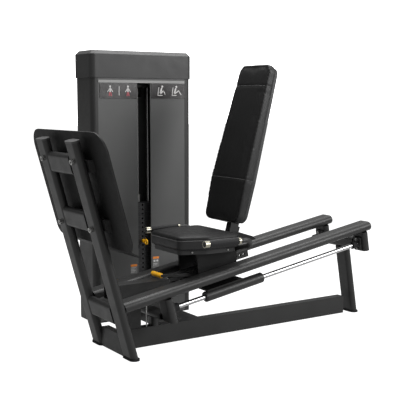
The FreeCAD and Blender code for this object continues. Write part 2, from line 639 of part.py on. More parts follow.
def sleeves():
    bushes, sleeve_pair = [], []
    long = (dim("sleeverear") - dim("sleevefront")) / RAIL_DIR.x
    for side, name in ((-1, "left"), (1, "right")):
        y = side * dim("railside")
        start = along_rod(dim("sleevefront"), y, 0)
        outer = cylinder("SleeveOuter" + name, start, RAIL_DIR, "Dims.sleevedia / 2", long)
        inner = cylinder("SleeveInner" + name, start - RAIL_DIR, RAIL_DIR, "Dims.sleevebore / 2", long + 2)
        sleeve_pair.append(cut("Sleeve" + name, outer, inner))
        for end, shift in (("F", 6.0), ("R", long - 66.0)):
            bush_at = start + RAIL_DIR * shift
            bush = cylinder("BushOuter" + name + end, bush_at, RAIL_DIR, "Dims.sleevebore / 2 - 0.05", 60)
            bore = cylinder("BushBore" + name + end, bush_at - RAIL_DIR, RAIL_DIR,
                            "Dims.roddia / 2 + 0.05", 62)
            bushes.append(cut("Bush" + name + end, bush, bore))
            seal_at = start + RAIL_DIR * (-4.2 if end == "F" else long + 0.2)
            ring = cylinder("SealOuter" + name + end, seal_at, RAIL_DIR, 25.5, 4)
            bore = cylinder("SealBore" + name + end, seal_at - RAIL_DIR, RAIL_DIR, 13.2, 6)
            bushes.append(cut("Seal" + name + end, ring, bore))
    node("rod_sleeves", group("Sleeves", *sleeve_pair))
    node("sleeve_bushes", group("Bushes", *bushes))


def carriage_frame():
    """Cheek plates inside the rails, joined to the sleeves by webs and to each other by ties."""
    turn = Rotation(Vector(0, 1, 0), -dim("incline"))
    thick, side_at = dim("cheekthick"), dim("cheekside")
    cheeks, members = [], []
    for side, name in ((-1, "left"), (1, "right")):
        front, rear = 270.0, 498.0
        inner = side * (side_at - thick / 2)
        # cheek outline: follows the sleeve below, rises to the seat beams above
        low = [along_rod(front, 0, 30), along_rod(rear, 0, 30)]
        high = [at(492, 0, 464), at(250, 0, 464)]
        corners = [point + SIDE * inner for point in low + high]
        cheeks.append(polygon_prism("Cheek" + name, corners, SIDE * (side * thick)))
        web_y = side_at + thick / 2 + 0.2
        width = dim("railside") + 18 - web_y
        start = along_rod(264.0, web_y if side > 0 else -web_y - width, 27.6)
        cheeks.append(box("Web" + name, start, 219, width, 8, turn))
    node("carriage_cheeks", group("Cheeks", *cheeks))
    gap = side_at - thick / 2 - 0.3
    for x, up in ((300.0, 46.0), (470.0, 46.0)):
        point = along_rod(x, -gap, up)
        members.append(oval("Tie%d" % x, point, SIDE, RAIL_DIR, 2 * gap, "50.0", "25.0"))
    # guide blocks that the drive bar runs through
    blocks = []
    for x in (312.0, 446.0):
        base = at(x, -22, drive_z(x)) - RAIL_UP * 34
        outer = box("BlockOuter%d" % x, base, 40, 44, 68, turn)
        hole_at = at(x, -dim("barthick") / 2 - 0.3, drive_z(x)) - RAIL_UP * (dim("barhigh") / 2 + 0.3)
        hole = box("BlockHole%d" % x, hole_at - RAIL_DIR * 2, 44, "Dims.barthick + 0.6",
                   "Dims.barhigh + 0.6", turn)
        if x < 400:
            bore_at = at(x + 20 * RAIL_DIR.x, -30, drive_z(x + 20 * RAIL_DIR.x))
            bore = cylinder("BlockBore", bore_at, SIDE, "Dims.pindia / 2 + 0.05", 60)
            blocks.append(cut("Block%d" % x, outer, hole, bore))
        else:
            blocks.append(cut("Block%d" % x, outer, hole))
    node("drive_bar_guides", group("Guides", *blocks))
    # hangers that carry the guide blocks from the seat beams
    for x in (312.0, 446.0):
        top = drive_z(x) + 41
        members.append(box("Strap%d" % x, at(x + 2, -20, top), 30, 40, 452 - top))
    members.append(box("CrossBeam", at(256, -84, 452.3), 244, 168, 12))
    return members


def lever_and_pin():
    members = carriage_frame()
    pin_x = lock_x()
    pin_z = drive_z(pin_x)
    pin = cylinder("PinShank", at(pin_x, -30, pin_z), SIDE, "Dims.pindia / 2", 40)
    head = cylinder("PinHead", at(pin_x, -40, pin_z), SIDE, 9, 16)
    node("lock_pin", fuse("Pin", pin, head))
    # release lever: yellow cross grip on a long arm with its pivot beside the pin
    pivot_x, pivot_z = pin_x + 44, pin_z - 30
    grip_x, grip_z = 78.0, 352.0
    side = -44.0
    corners = [at(pivot_x + 8, side, pivot_z - 9), at(pivot_x + 8, side, pivot_z + 9),
               at(grip_x + 4, side, grip_z + 8), at(grip_x - 6, side, grip_z + 6),
               at(grip_x - 6, side, grip_z - 6), at(grip_x + 40, side, grip_z - 8)]
    arm = polygon_prism("LeverArm", corners, SIDE * 6)
    lever = cut("Lever", arm, cylinder("LeverBore", at(pivot_x, side - 2, pivot_z), SIDE, 5.05, 10))
    grip = cylinder("LeverGrip", at(grip_x, side + 6.2, grip_z), SIDE, 11.5, 92)
    node("release_lever", group("LeverAndGrip", lever, grip))
    stud = cylinder("LeverStud", at(pivot_x, -50, pivot_z), SIDE, 5, 36)
    lug = box("LeverLug", at(pivot_x - 12, -30, pivot_z - 12), 24, 7.4, 464 - pivot_z)
    bore = cylinder("LugBore", at(pivot_x, -40, pivot_z), SIDE, 5.02, 30)
    members += [stud, cut("Lug", lug, bore)]
    node("carriage_cross_members", group("CrossMembers", *members))


def rounded_slab(name, outline, low, thick, corner, rim):
    """Slab with its outline given in plan, rounded at its corners and along its rims."""
    body = doc.addObject("PartDesign::Body", name)
    sketch = new_sketch(body, name + "Plan")
    ends = outline[1:] + outline[:1]
    for (x0, y0), (x1, y1) in zip(outline, ends):
        sketch.addGeometry(Part.LineSegment(Vector(x0, y0, 0), Vector(x1, y1, 0)), False)
    pad = body.newObject("PartDesign::Pad", name + "Pad")
    pad.Profile = sketch
    pad.setExpression("Length", thick)
    doc.recompute()
    upright_edges = ["Edge%d" % (i + 1) for i, edge in enumerate(pad.Shape.Edges)
                     if abs(edge.Vertexes[0].Z - edge.Vertexes[-1].Z) > 1]
    corners = body.newObject("PartDesign::Fillet", name + "Corners")
    corners.Base = (pad, upright_edges)
    corners.Radius = corner
    doc.recompute()
    height = pad.Shape.BoundBox.ZMax
    top_edges = ["Edge%d" % (i + 1) for i, edge in enumerate(corners.Shape.Edges)
                 if abs(edge.BoundBox.ZMin - height) < 0.01]
    rims = body.newObject("PartDesign::Fillet", name + "Rims")
    rims.Base = (corners, top_edges)
    rims.Radius = rim
    doc.recompute()
    body.Placement = Placement(low, Rotation())
    return body


def seat():
    front, rear = dim("seatfront"), dim("seatrear")
    slim, broad = dim("seatfronthalf"), dim("seatrearhalf")
    waist = front + 0.42 * (rear - front)
    outline = [(front, -slim), (waist, -broad), (rear, -broad), (rear, broad), (waist, broad),
               (front, slim)]
    pad = rounded_slab("SeatPad", outline, at(0, 0, dim("seatlow")), "Dims.seatthick", 36, 16)
    node("seat_pad", pad)
    smaller = [(x + (14 if x < 200 else -14 if x > 400 else 0), y * 0.9) for x, y in outline]
    board = rounded_slab("SeatBoard", smaller, at(0, 0, dim("seatlow") - 23.2), "22.9", 30, 2)
    node("seat_board", board)
    bolts = []
    side_x, front_x, half = 380.0, 186.0, broad * 0.9
    slant = Vector(-(broad - slim) * 0.9, -(waist - front - 14), 0).normalize()
    along = (front_x - front - 14) / (waist - front - 14)
    front_y = 0.9 * (slim + along * (broad - slim))
    for side in (-1, 1):
        outward = Vector(slant.x, -slant.y * side, 0)
        bolts.append(bolt("SeatBolt%d" % (side + 1), at(side_x, side * (half + 0.2), 476),
                          SIDE * side, 8.0))
        bolts.append(bolt("SeatFrontBolt%d" % (side + 1), at(front_x, side * front_y, 476)
                          + outward * 0.3, outward, 8.0))
    node("seat_bolts", group("SeatBolts", *bolts))


def handles():
    tubes, rings, grips = [], [], []
    y, z = dim("gripside"), dim("gripz")
    front, rear = dim("gripfront"), dim("griprear")
    for side, name in ((-1, "left"), (1, "right")):
        points = [at(front + 2, side * y, z), at(rear + 58, side * y, z),
                  at(rear + 92, side * (y - 40), z - 34), at(rear + 92, side * 99, 460)]
        edges, last = [], points[0]
        for before, corner, after, radius in zip(points, points[1:], points[2:], (46, 40)):
            into, out = (corner - before).normalize(), (after - corner).normalize()
            reach = radius * math.tan(into.getAngle(out) / 2)
            start, end = corner - into * reach, corner + out * reach
            middle = corner + (out - into).normalize() * (
                radius / math.cos(into.getAngle(out) / 2) - radius)
            edges.append(Part.LineSegment(last, start).toShape())
            edges.append(Part.Arc(start, middle, end).toShape())
            last = end
        edges.append(Part.LineSegment(last, points[-1]).toShape())
        path = Part.Wire(edges)
        ring = Part.Wire(Part.Circle(points[0], REAR, 12.5).toShape())
        tubes.append(feature("HandleTube" + name, path.makePipeShell([ring], True, False)))
        sleeve = cylinder("Grip" + name, at(front + 16, side * y, z), REAR, 16, rear - front - 26)
        bore = cylinder("GripBore" + name, at(front, side * y, z), REAR, 12.55, rear - front)
        grips.append(cut("GripSleeve" + name, sleeve, bore))
        for place, long in ((front - 8, 23.8), (rear - 9.8, 12)):
            collar = cylinder("Collar%s%d" % (name, place), at(place, side * y, z), REAR, 17, long)
            if place < front:
                hollow = cylinder("CollarBore%s%d" % (name, place), at(front + 1.8, side * y, z),
                                  REAR, 12.55, 60)
            else:
                hollow = cylinder("CollarBore%s%d" % (name, place), at(place - 1, side * y, z),
                                  REAR, 12.55, 60)
            rings.append(cut("CollarRing%s%d" % (name, place), collar, hollow))
    node("handle_tubes", group("HandleTubes", *tubes))
    node("handle_grips", group("Grips", *grips))
    node("handle_collars", group("Collars", *rings))


# ---------------------------------------------------------------- backrest
def back_dirs():
    tilt = math.radians(dim("backtilt"))
    return Vector(math.sin(tilt), 0, math.cos(tilt)), Vector(math.cos(tilt), 0, -math.sin(tilt))


def back_slab(name, base, rearward, up, shrink, thick, corner):
    """Backrest layer: narrow at the top, widest low down, with rounded corners."""
    long, mid, top = dim("backlong"), dim("backmidhalf"), dim("backtophalf")
    seam = dim("lowerseam")
    outline = [(shrink, -(mid * 0.98 - shrink)), (shrink, mid * 0.98 - shrink),
               (seam, mid - shrink), (long - shrink, top - shrink),
               (long - shrink, -(top - shrink)), (seam, -(mid - shrink))]
    body = doc.addObject("PartDesign::Body", name)
    sketch = new_sketch(body, name + "Plan")
    for (s0, y0), (s1, y1) in zip(outline, outline[1:] + outline[:1]):
        sketch.addGeometry(Part.LineSegment(Vector(s0, y0, 0), Vector(s1, y1, 0)), False)
    pad = body.newObject("PartDesign::Pad", name + "Pad")
    pad.Profile = sketch
    pad.setExpression("Length", thick)
    doc.recompute()
    tall = ["Edge%d" % (i + 1) for i, edge in enumerate(pad.Shape.Edges)
            if abs(edge.Vertexes[0].Z - edge.Vertexes[-1].Z) > 1]
    corners = body.newObject("PartDesign::Fillet", name + "Corners")
    corners.Base = (pad, tall)
    corners.Radius = corner
    body.Placement = Placement(base, axes(rearward, up))
    return body


def backrest():
    up, rearward = back_dirs()
    base = at(dim("backx"), 0, dim("backlow"))
    # the rear shell leans forward a little more than the front face, so the pad thins upwards
    tilt = Rotation(SIDE, -dim("backtaper"))
    shell_up, shell_rear = tilt.multVec(up), tilt.multVec(rearward)
    shell_base = base + rearward * (dim("backthick") + 0.3)
    cushion = back_slab("BackPad", base, rearward, up, 0, "Dims.backthick", 48)
    behind = box("BehindPad", shell_base - shell_rear * 0.3 - SIDE * 250 - shell_up * 200, 200, 500,
                 1400, Rotation(shell_rear, SIDE, shell_up, "ZXY"))
    # below the lower seam the front face stands a little steeper
    seam = base + up * dim("lowerseam")
    steep = Rotation(SIDE, -dim("lumbar"))
    front_up, front_rear = steep.multVec(up), steep.multVec(rearward)
    ahead = box("AheadOfPad", seam - front_rear * 200 - SIDE * 250 - front_up * 500, 200, 500, 500,
                Rotation(front_rear, SIDE, front_up, "ZXY"))
    node("backrest_pad", cut("BackPadTapered", cushion, behind, ahead))
    node("backrest_shell", back_slab("BackShell", shell_base, shell_rear, shell_up, 8,
                                     "Dims.backshell", 44))
    # post behind the shell, down to the recline pivot
    start = shell_base + shell_rear * (dim("backshell") + 0.3) - shell_up * 70 - SIDE * 20
    post = box("PostBlank", start, 50, 40, 520, Rotation(shell_rear, SIDE, shell_up, "ZXY"))
    pivot = at(dim("pivotx"), 0, dim("pivotz"))
    lug = cylinder("PostLug", pivot - SIDE * 20, SIDE, 20, 40)
    neck = box("PostNeck", pivot - SIDE * 20 - rearward * 20, 44, 40, 60,
               Rotation(rearward, SIDE, up, "ZXY"))
    bore = cylinder("PostBore", pivot - SIDE * 30, SIDE, 8.05, 60)
    node("backrest_post", cut("Post", fuse("PostBody", post, lug, neck), bore))
    # yoke: two wedge plates that carry the pivot and slope down behind it
    plates = [cylinder("ReclinePin", pivot - SIDE * 36, SIDE, 8, 72)]
    for side in (-1, 1):
        y = side * 27.0 - 5
        corners = [at(470, y, 464.5), at(664, y, 486), at(640, y, 505), at(556, y, 532),
                   at(500, y, 532), at(470, y, 500)]
        plate = polygon_prism("YokePlate%d" % (side + 1), corners, SIDE * 10)
        hole = cylinder("YokeBore%d" % (side + 1), pivot - SIDE * 60, SIDE, 8.02, 120)
        plates.append(cut("Yoke%d" % (side + 1), plate, hole))
    node("recline_yoke", group("Yokes", *plates))


# ---------------------------------------------------------------- tower
def tower_shell():
    x0, wide, y0, deep = dim("towerx"), dim("towerwide"), dim("towery"), dim("towerdeep")
    x1, y1 = x0 + wide, y0 + deep
    low, top, col = 8.0, dim("bodytop"), dim("column")
    thick = dim("panelthick")
    # side shells: rounded U-shaped covers, one at each end of the tower
    shells = []
    for side, name in ((0, "front"), (1, "rear")):
        start = x0 if side == 0 else x1 - col
        outer = box("Shell" + name, at(start, y0, low), "Dims.column", "Dims.towerdeep",
                    "Dims.bodytop - 8")
        rounded = doc.addObject("Part::Fillet", "ShellRound" + name)
        rounded.Base = outer
        doc.recompute()
        outer_x = at(x0 if side == 0 else x1, 0, 0).x
        edges = [i + 1 for i, edge in enumerate(outer.Shape.Edges)
                 if edge.BoundBox.ZLength > 100 and abs(edge.CenterOfMass.x - outer_x) < 0.1]
        rounded.Edges = [(index, 24.0, 24.0) for index in edges]
        hollow_x = start + (thick if side == 0 else -1)
        hollow = box("ShellHollow" + name, at(hollow_x, y0 + thick, low - 1), col - thick + 1,
                     deep - 2 * thick, top - low + 2)
        hollow_round = doc.addObject("Part::Fillet", "ShellHollowRound" + name)
        hollow_round.Base = hollow
        doc.recompute()
        inner_x = at(hollow_x if side == 0 else hollow_x + col - thick + 1, 0, 0).x
        edges = [i + 1 for i, edge in enumerate(hollow.Shape.Edges)
                 if edge.BoundBox.ZLength > 100 and abs(edge.CenterOfMass.x - inner_x) < 0.1]
        hollow_round.Edges = [(index, 21.0, 21.0) for index in edges]
        shells.append(cut("SideShell" + name, rounded, hollow_round))
    node("shroud_sides", group("SideShells", *shells))
    # front panels on both sides of the open slot, and the back panel
    panel_left = x0 + col + 0.4
    panel_right = x1 - col - 0.4
    fronts = []
    panels = (("left", panel_left, dim("slotleft")), ("right", dim("slotright"), panel_right))
    for name, left, right in panels:
        face = box("Panel" + name, at(left, y0 + 1, low), right - left, thick, "Dims.bodytop - 118")
        lip_x = right - thick if name == "left" else left
        lip = box("PanelLip" + name, at(lip_x, y0 + 1, low), thick, 4.5, "Dims.bodytop - 118")
        pieces = [face, lip]
        fronts.append(fuse("FrontPanel" + name, *pieces))
    header = box("HeaderBlank", at(panel_left, y0 + 1, top - 109.6), panel_right - panel_left,
                 "Dims.panelthick", 109.4)
    slot_width = dim("slotright") - dim("slotleft")
    notch = box("HeaderNotch", at(dim("slotleft"), y0, top - 120), slot_width, 10, 94)
    fronts.append(cut("Header", header, notch))
    node("shroud_front_panels", group("FrontPanels", *fronts))
    node("shroud_back", box("BackPanel", at(panel_left, y1 - thick - 1, low),
                            panel_right - panel_left, "Dims.panelthick", "Dims.bodytop - 8"))
    trim = box("HeaderTrim", at(18, y0 - 1.6, 1312), 540, 2.4, 15)
    left_card = box("CardLeft", at(24, y0 - 1.2, 1229), 229, 2, 82)
    right_card = box("CardRight", at(342, y0 - 1.2, 1229), 218, 2, 82)
    left_label = box("LabelLeft", at(202, y0 + 0.2, 256), 42, 0.6, 54)
    right_label = box("LabelRight", at(344, y0 + 0.2, 275), 42, 0.6, 66)
    node("tower_placards", group("Placards", trim, left_card, right_card, left_label, right_label))


def tower_hood():
    lip, low, top = dim("hoodlip"), dim("bodytop") + 0.3, dim("hoodtop")
    outer = box("HoodBlank", at(dim("towerx") - lip, dim("towery") - lip, low),
                "Dims.towerwide + 2 * Dims.hoodlip", "Dims.towerdeep + 2 * Dims.hoodlip",
                "Dims.hoodtop - Dims.bodytop - 0.3")
    doc.recompute()
    tall = [i + 1 for i, edge in enumerate(outer.Shape.Edges) if edge.BoundBox.ZLength > 100]
    rounded = doc.addObject("Part::Fillet", "HoodRound")
    rounded.Base = outer
    rounded.Edges = [(index, 28.0, 28.0) for index in tall]
    doc.recompute()
    rim = [i + 1 for i, edge in enumerate(rounded.Shape.Edges) if edge.BoundBox.ZMin > top - 0.1]
    domed = doc.addObject("Part::Chamfer", "HoodBevel")
    domed.Base = rounded
    domed.Edges = [(index, 20.0, 20.0) for index in rim]
    hollow = box("HoodHollow", at(dim("towerx") - lip + 4, dim("towery") - lip + 4, low - 1),
                 "Dims.towerwide + 2 * Dims.hoodlip - 8", "Dims.towerdeep + 2 * Dims.hoodlip - 8",
                 top - low - 24)
    doc.recompute()
    tall = [i + 1 for i, edge in enumerate(hollow.Shape.Edges) if edge.BoundBox.ZLength > 50]
    inner = doc.addObject("Part::Fillet", "HoodHollowRound")
    inner.Base = hollow
    inner.Edges = [(index, 24.0, 24.0) for index in tall]
    node("shroud_hood", cut("Hood", domed, inner))


def tower_inside():
    cx, cy = dim("stackx"), dim("stacky")
    side = dim("shaftside")
    x0, y0 = dim("towerx"), dim("towery")
    inset = 7.0
    plinth = box("Plinth", at(x0 + inset, y0 + inset, 0), dim("towerwide") - 2 * inset,
                 dim("towerdeep") - 2 * inset, 7.6)
    count, pitch = int(dim("platecount")), dim("pitch")
    stack_low = dim("stacktop") - count * pitch
    # stands: two blocks under the stack with a rubber buffer on each
    stands = []
    for sense in (-1, 1):
        x = cx + sense * side
        stands.append(box("Stand%d" % (sense + 1), at(x - 30, cy - 36, 7.8), 60, 54,
                          stack_low - dim("buffer") - 8.2))
        ring = cylinder("Buffer%d" % (sense + 1), at(x, cy, stack_low - dim("buffer")), UP, 27,
                        dim("buffer") - 0.4)
        bore = cylinder("BufferBore%d" % (sense + 1), at(x, cy, stack_low - dim("buffer") - 1), UP,
                        "Dims.shaftdia / 2 + 0.4", 60)
        BUFFERS.append(cut("BufferRing%d" % (sense + 1), ring, bore))
    node("tower_base", group("TowerBase", plinth, *stands))
    shafts = []
    for sense in (-1, 1):
        low = stack_low - dim("buffer")
        shafts.append(cylinder("Shaft%d" % (sense + 1), at(cx + sense * side, cy, low), UP,
                               "Dims.shaftdia / 2", 1290 - low))
    node("stack_guide_shafts", group("Shafts", *shafts))
    # head frame that holds the shafts' tops and the top wheel's axle
    beam = box("HeadBeamBlank", at(x0 + 30, cy - 18, 1290.3), dim("towerwide") - 60, 36, 30)
    notch = box("HeadBeamNotch", at(cx - 32, cy - 8, 1280), 64, 40, 50)
    beam = cut("HeadBeam", beam, notch)
    cheeks = []
    tower_z = dim("ropez") + dim("towerr")
    for tag, y, z, foot, tall in (("Top", top_wheel_y(), dim("topz"), 1236, 100),
                                  ("Low", tower_wheel_y(), tower_z, 7.9, 96)):
        for sense in (-1, 1):
            name = "%sCheek%d" % (tag, sense + 1)
            cheek = box(name, at(cx + sense * 36 - 3, y - 22, foot), 6, 44, tall)
            bore = cylinder(name + "Bore", at(cx - 80, y, z), REAR, "Dims.axledia / 2 + 0.02", 160)
            cheeks.append(cut(name + "Cut", cheek, bore))
    frame_posts = [box("TowerPost%d" % i, at(x, y0 + 60, 7.9), 24, 60, 1282)
                   for i, x in enumerate((x0 + 34, x0 + dim("towerwide") - 58))]
    node("tower_frame", group("TowerFrame", beam, *cheeks, *frame_posts))


def weight_plate(name, index, with_slot=True):
    """One plate: a slab with two shaft holes, a hole for the stem and a slot for the pin."""
    pitch, cx, cy = dim("pitch"), dim("stackx"), dim("stacky")
    z = dim("stacktop") - (index + 1) * pitch
    slab = box(name + "Slab", at(cx - dim("platewide") / 2, cy - dim("platedeep") / 2, z),
               "Dims.platewide", "Dims.platedeep", "Dims.pitch - Dims.plategap")
    tools = [cylinder("%sShaft%d" % (name, sense + 1), at(cx + sense * dim("shaftside"), cy, z - 1),
                      UP, "Dims.shaftdia / 2 + 0.6", 40) for sense in (-1, 1)]
    tools.append(cylinder(name + "Stem", at(cx, cy, z - 1), UP, 13.2, 40))
    if with_slot:
        tools.append(cylinder(name + "Pin", at(cx, cy - 80, z + pitch / 2), SIDE, 5.6, 80))
    return cut(name, slab, *tools)


def weight_stack():
    cx, cy = dim("stackx"), dim("stacky")
    count, lifted, pitch = int(dim("platecount")), int(dim("lifted")), dim("pitch")
    plates = [weight_plate("Plate%d" % index, index) for index in range(count)]
    node("weight_plates_lifted", group("PlatesUp", *plates[:lifted]))
    node("weight_plates_resting", group("PlatesDown", *plates[lifted:]))
    # stem: hangs from the head plate through all plates, with a hole at every plate
    top = dim("stacktop")
    stem_low = top - count * pitch + 4
    stem = cylinder("StemBar", at(cx, cy, stem_low), UP, 12.8, top + 30 - stem_low)
    holes = [cylinder("StemHole%d" % index, at(cx, cy - 30, top - (index + 0.5) * pitch), SIDE, 5.6, 60)
             for index in range(1, count)]
    collar = cylinder("StemCollar", at(cx, cy, top + 0.2), UP, 17, 45)
    joined = fuse("StemBody", stem, collar)
    node("selector_stem", cut("Stem", joined, *holes))
    # selector pin: shank in the chosen plate, with a looped handle in front
    pin_z = top - (lifted - 0.5) * pitch
    face = cy - dim("platedeep") / 2
    shank = cylinder("SelectorShank", at(cx, face - 18, pin_z), SIDE, 5, 78)
    hub = cylinder("SelectorHub", at(cx, face - 22, pin_z), SIDE, 10, 16)
    loop = doc.addObject("Part::Torus", "SelectorLoop")
    loop.Radius1, loop.Radius2 = 13.0, 4.0
    loop.Placement = Placement(at(cx, face - 39.4, pin_z - 2), Rotation(UP, REAR))
    node("selector_pin", group("SelectorAndLoop", fuse("Selector", shank, hub), loop))


def shared_nodes():
    node("tube_end_caps", group("EndCaps", *CAPS))
    node("foot_pads", group("FootPads", *FEET))
    node("frame_bolts", group("FrameBolts", *BOLTS))
    node("rubber_buffers", group("RubberBuffers", *BUFFERS))
    node("upright_cross_tubes", group("UprightCross", *CROSS_TUBES))


# ---------------------------------------------------------------- build, check and export
for build in (floor_frame, uprights, foot_plate, rails, rear_frame, front_hangers, guide_rods,
              front_beam, pulleys, ropes, drive_bar, sleeves, lever_and_pin, seat, handles, backrest,
              tower_shell, tower_hood, tower_inside, weight_stack, shared_nodes):
    build()
doc.recompute()

for item in doc.Objects:
    if "Invalid" in item.State or "Error" in item.State:
        raise RuntimeError("%s (%s) failed: %s" % (item.Name, item.Label, item.State))
for item in NODES:
    if item.Shape.isNull() or not item.Shape.isValid():
        raise RuntimeError("%s has no valid shape" % item.Label)
    if not item.Shape.Solids:
        raise RuntimeError("%s has no solid" % item.Label)

whole = FreeCAD.BoundBox()
for item in NODES:
    whole.add(item.Shape.BoundBox)
    item.Shape.exportStep("parts/%s.step" % item.Label)
print("nodes", len(NODES))
print("box", [round(value, 1) for value in (whole.XMin, whole.YMin, whole.ZMin, whole.XMax,
                                            whole.YMax, whole.ZMax)])
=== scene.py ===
import json
import math
import bmesh
import bpy
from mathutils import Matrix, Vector


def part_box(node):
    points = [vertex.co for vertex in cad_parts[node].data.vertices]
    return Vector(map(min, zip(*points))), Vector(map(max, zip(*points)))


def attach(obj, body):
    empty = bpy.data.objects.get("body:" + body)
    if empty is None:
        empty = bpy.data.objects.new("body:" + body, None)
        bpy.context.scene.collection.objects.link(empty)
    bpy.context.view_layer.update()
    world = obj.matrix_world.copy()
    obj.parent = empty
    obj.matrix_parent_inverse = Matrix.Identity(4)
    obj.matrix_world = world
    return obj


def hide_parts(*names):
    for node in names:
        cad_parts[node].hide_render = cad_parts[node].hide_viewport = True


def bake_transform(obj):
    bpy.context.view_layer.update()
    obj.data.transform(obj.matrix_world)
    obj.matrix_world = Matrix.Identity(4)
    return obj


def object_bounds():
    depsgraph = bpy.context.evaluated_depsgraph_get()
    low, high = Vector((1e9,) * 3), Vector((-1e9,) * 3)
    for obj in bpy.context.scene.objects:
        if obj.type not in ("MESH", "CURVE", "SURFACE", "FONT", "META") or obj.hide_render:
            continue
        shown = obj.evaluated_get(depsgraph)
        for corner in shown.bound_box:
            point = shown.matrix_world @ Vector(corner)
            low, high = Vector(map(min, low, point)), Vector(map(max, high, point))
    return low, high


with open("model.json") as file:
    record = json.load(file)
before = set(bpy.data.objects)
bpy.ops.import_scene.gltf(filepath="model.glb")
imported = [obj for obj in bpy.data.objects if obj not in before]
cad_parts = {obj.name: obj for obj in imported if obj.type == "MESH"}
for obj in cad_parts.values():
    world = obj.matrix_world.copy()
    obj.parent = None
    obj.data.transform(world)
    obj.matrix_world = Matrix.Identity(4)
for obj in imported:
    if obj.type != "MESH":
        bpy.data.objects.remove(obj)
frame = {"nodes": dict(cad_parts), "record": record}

CAD_LOW, CAD_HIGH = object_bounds()

# ---------------------------------------------------------------- places shared by the pieces
# Metres. MID is the footprint's middle, measured from the tower's front corner line (x) and
# from the machine's centre plane (y).
MID = Vector((0.4635, 0.1675, 0.0))
INCLINE = math.radians(10.0)
RAIL = Vector((math.cos(INCLINE), 0.0, math.sin(INCLINE)))
TILT = math.radians(16.6)
BACK_UP = Vector((math.sin(TILT), 0.0, math.cos(TILT)))
BACK_REAR = Vector((math.cos(TILT), 0.0, -math.sin(TILT)))
FORE = Vector((1.0, 0.0, 0.0))
SIDE = Vector((0.0, 1.0, 0.0))
UP = Vector((0.0, 0.0, 1.0))
# Millimetres, in the same directions as at() below.
RAIL_Z = 301.6          # height of the guide rods' line where x is zero
GRIP_Y, GRIP_Z = 283.0, 535.0
PANEL_Y = 516.0         # the tower's front face
STACK_X, STACK_Y = 300.0, 598.0


def at(x, y, z):
    """A point in mm from the tower corner line, the centre plane and the floor."""
    return Vector((x, y, z)) / 1000.0 - MID


# ---------------------------------------------------------------- material nodes
def new_material(name, color, rough, metal=0.0, coat=0.0, specular=0.5):
    """A plain principled material, its node tree and its shader."""
    material = bpy.data.materials.new(name)
    material.use_nodes = True
    tree = material.node_tree
    shader = tree.nodes["Principled BSDF"]
    shader.inputs["Base Color"].default_value = (*color, 1.0)
    shader.inputs["Roughness"].default_value = rough
    shader.inputs["Metallic"].default_value = metal
    shader.inputs["Coat Weight"].default_value = coat
    shader.inputs["Coat Roughness"].default_value = 0.25
    shader.inputs["Specular IOR Level"].default_value = specular
    return material, tree, shader


def object_coords(tree, stretch=(1.0, 1.0, 1.0)):
    """Object coordinates, scaled by stretch."""
    coords = tree.nodes.new("ShaderNodeTexCoord")
    mapping = tree.nodes.new("ShaderNodeMapping")
    mapping.inputs["Scale"].default_value = stretch
    tree.links.new(coords.outputs["Object"], mapping.inputs["Vector"])
    return mapping.outputs["Vector"]


def noise(tree, vector, scale, detail=3.0, rough=0.55):
    node = tree.nodes.new("ShaderNodeTexNoise")
    node.inputs["Scale"].default_value = scale
    node.inputs["Detail"].default_value = detail
    node.inputs["Roughness"].default_value = rough
    tree.links.new(vector, node.inputs["Vector"])
    return node.outputs["Fac"]


def remap(tree, value, low, high, from_low=0.3, from_high=0.7):
    """Maps a value from its usual noise range to low..high."""
    node = tree.nodes.new("ShaderNodeMapRange")
    node.inputs["From Min"].default_value = from_low
    node.inputs["From Max"].default_value = from_high
    node.inputs["To Min"].default_value = low
    node.inputs["To Max"].default_value = high
    tree.links.new(value, node.inputs["Value"])
    return node.outputs["Result"]


def mix_colors(tree, factor, dark, light):
    node = tree.nodes.new("ShaderNodeMix")
    node.data_type = "RGBA"
    node.inputs[6].default_value = (*dark, 1.0)
    node.inputs[7].default_value = (*light, 1.0)
    tree.links.new(factor, node.inputs[0])
    return node.outputs[2]


def add_bump(tree, shader, height, strength, distance, normal=None):
    node = tree.nodes.new("ShaderNodeBump")
    node.inputs["Strength"].default_value = strength
    node.inputs["Distance"].default_value = distance
    tree.links.new(height, node.inputs["Height"])
    if normal is not None:
        tree.links.new(normal, node.inputs["Normal"])
    tree.links.new(node.outputs["Normal"], shader.inputs["Normal"])
    return node.outputs["Normal"]


def math_node(tree, operation, first, second=None):
    """One sum; each operand is a number or an output socket."""
    node = tree.nodes.new("ShaderNodeMath")
    node.operation = operation
    for socket, value in zip(node.inputs, (first, second)):
        if value is None:
            continue
        if isinstance(value, (int, float)):
            socket.default_value = value
        else:
            tree.links.new(value, socket)
    return node.outputs[0]


def painted(name, color, rough, grain=0.35, spread=0.12, specular=0.5):
    """Powder coat: fine orange peel, soft cloudiness in colour and in gloss."""
    material, tree, shader = new_material(name, color, rough, specular=specular)
    vector = object_coords(tree)
    cloud = noise(tree, vector, 6.0, 4.0)
    dark = tuple(value * (1.0 - spread) for value in color)
    light = tuple(value * (1.0 + spread) for value in color)
    tree.links.new(mix_colors(tree, remap(tree, cloud, 0.0, 1.0), dark, light),
                   shader.inputs["Base Color"])
    smudge = noise(tree, vector, 17.0, 5.0, 0.65)
    tree.links.new(remap(tree, smudge, rough - 0.05, rough + 0.07), shader.inputs["Roughness"])
    if grain > 0.0:
        add_bump(tree, shader, noise(tree, vector, 420.0, 2.0), grain, 0.0002)
    return material


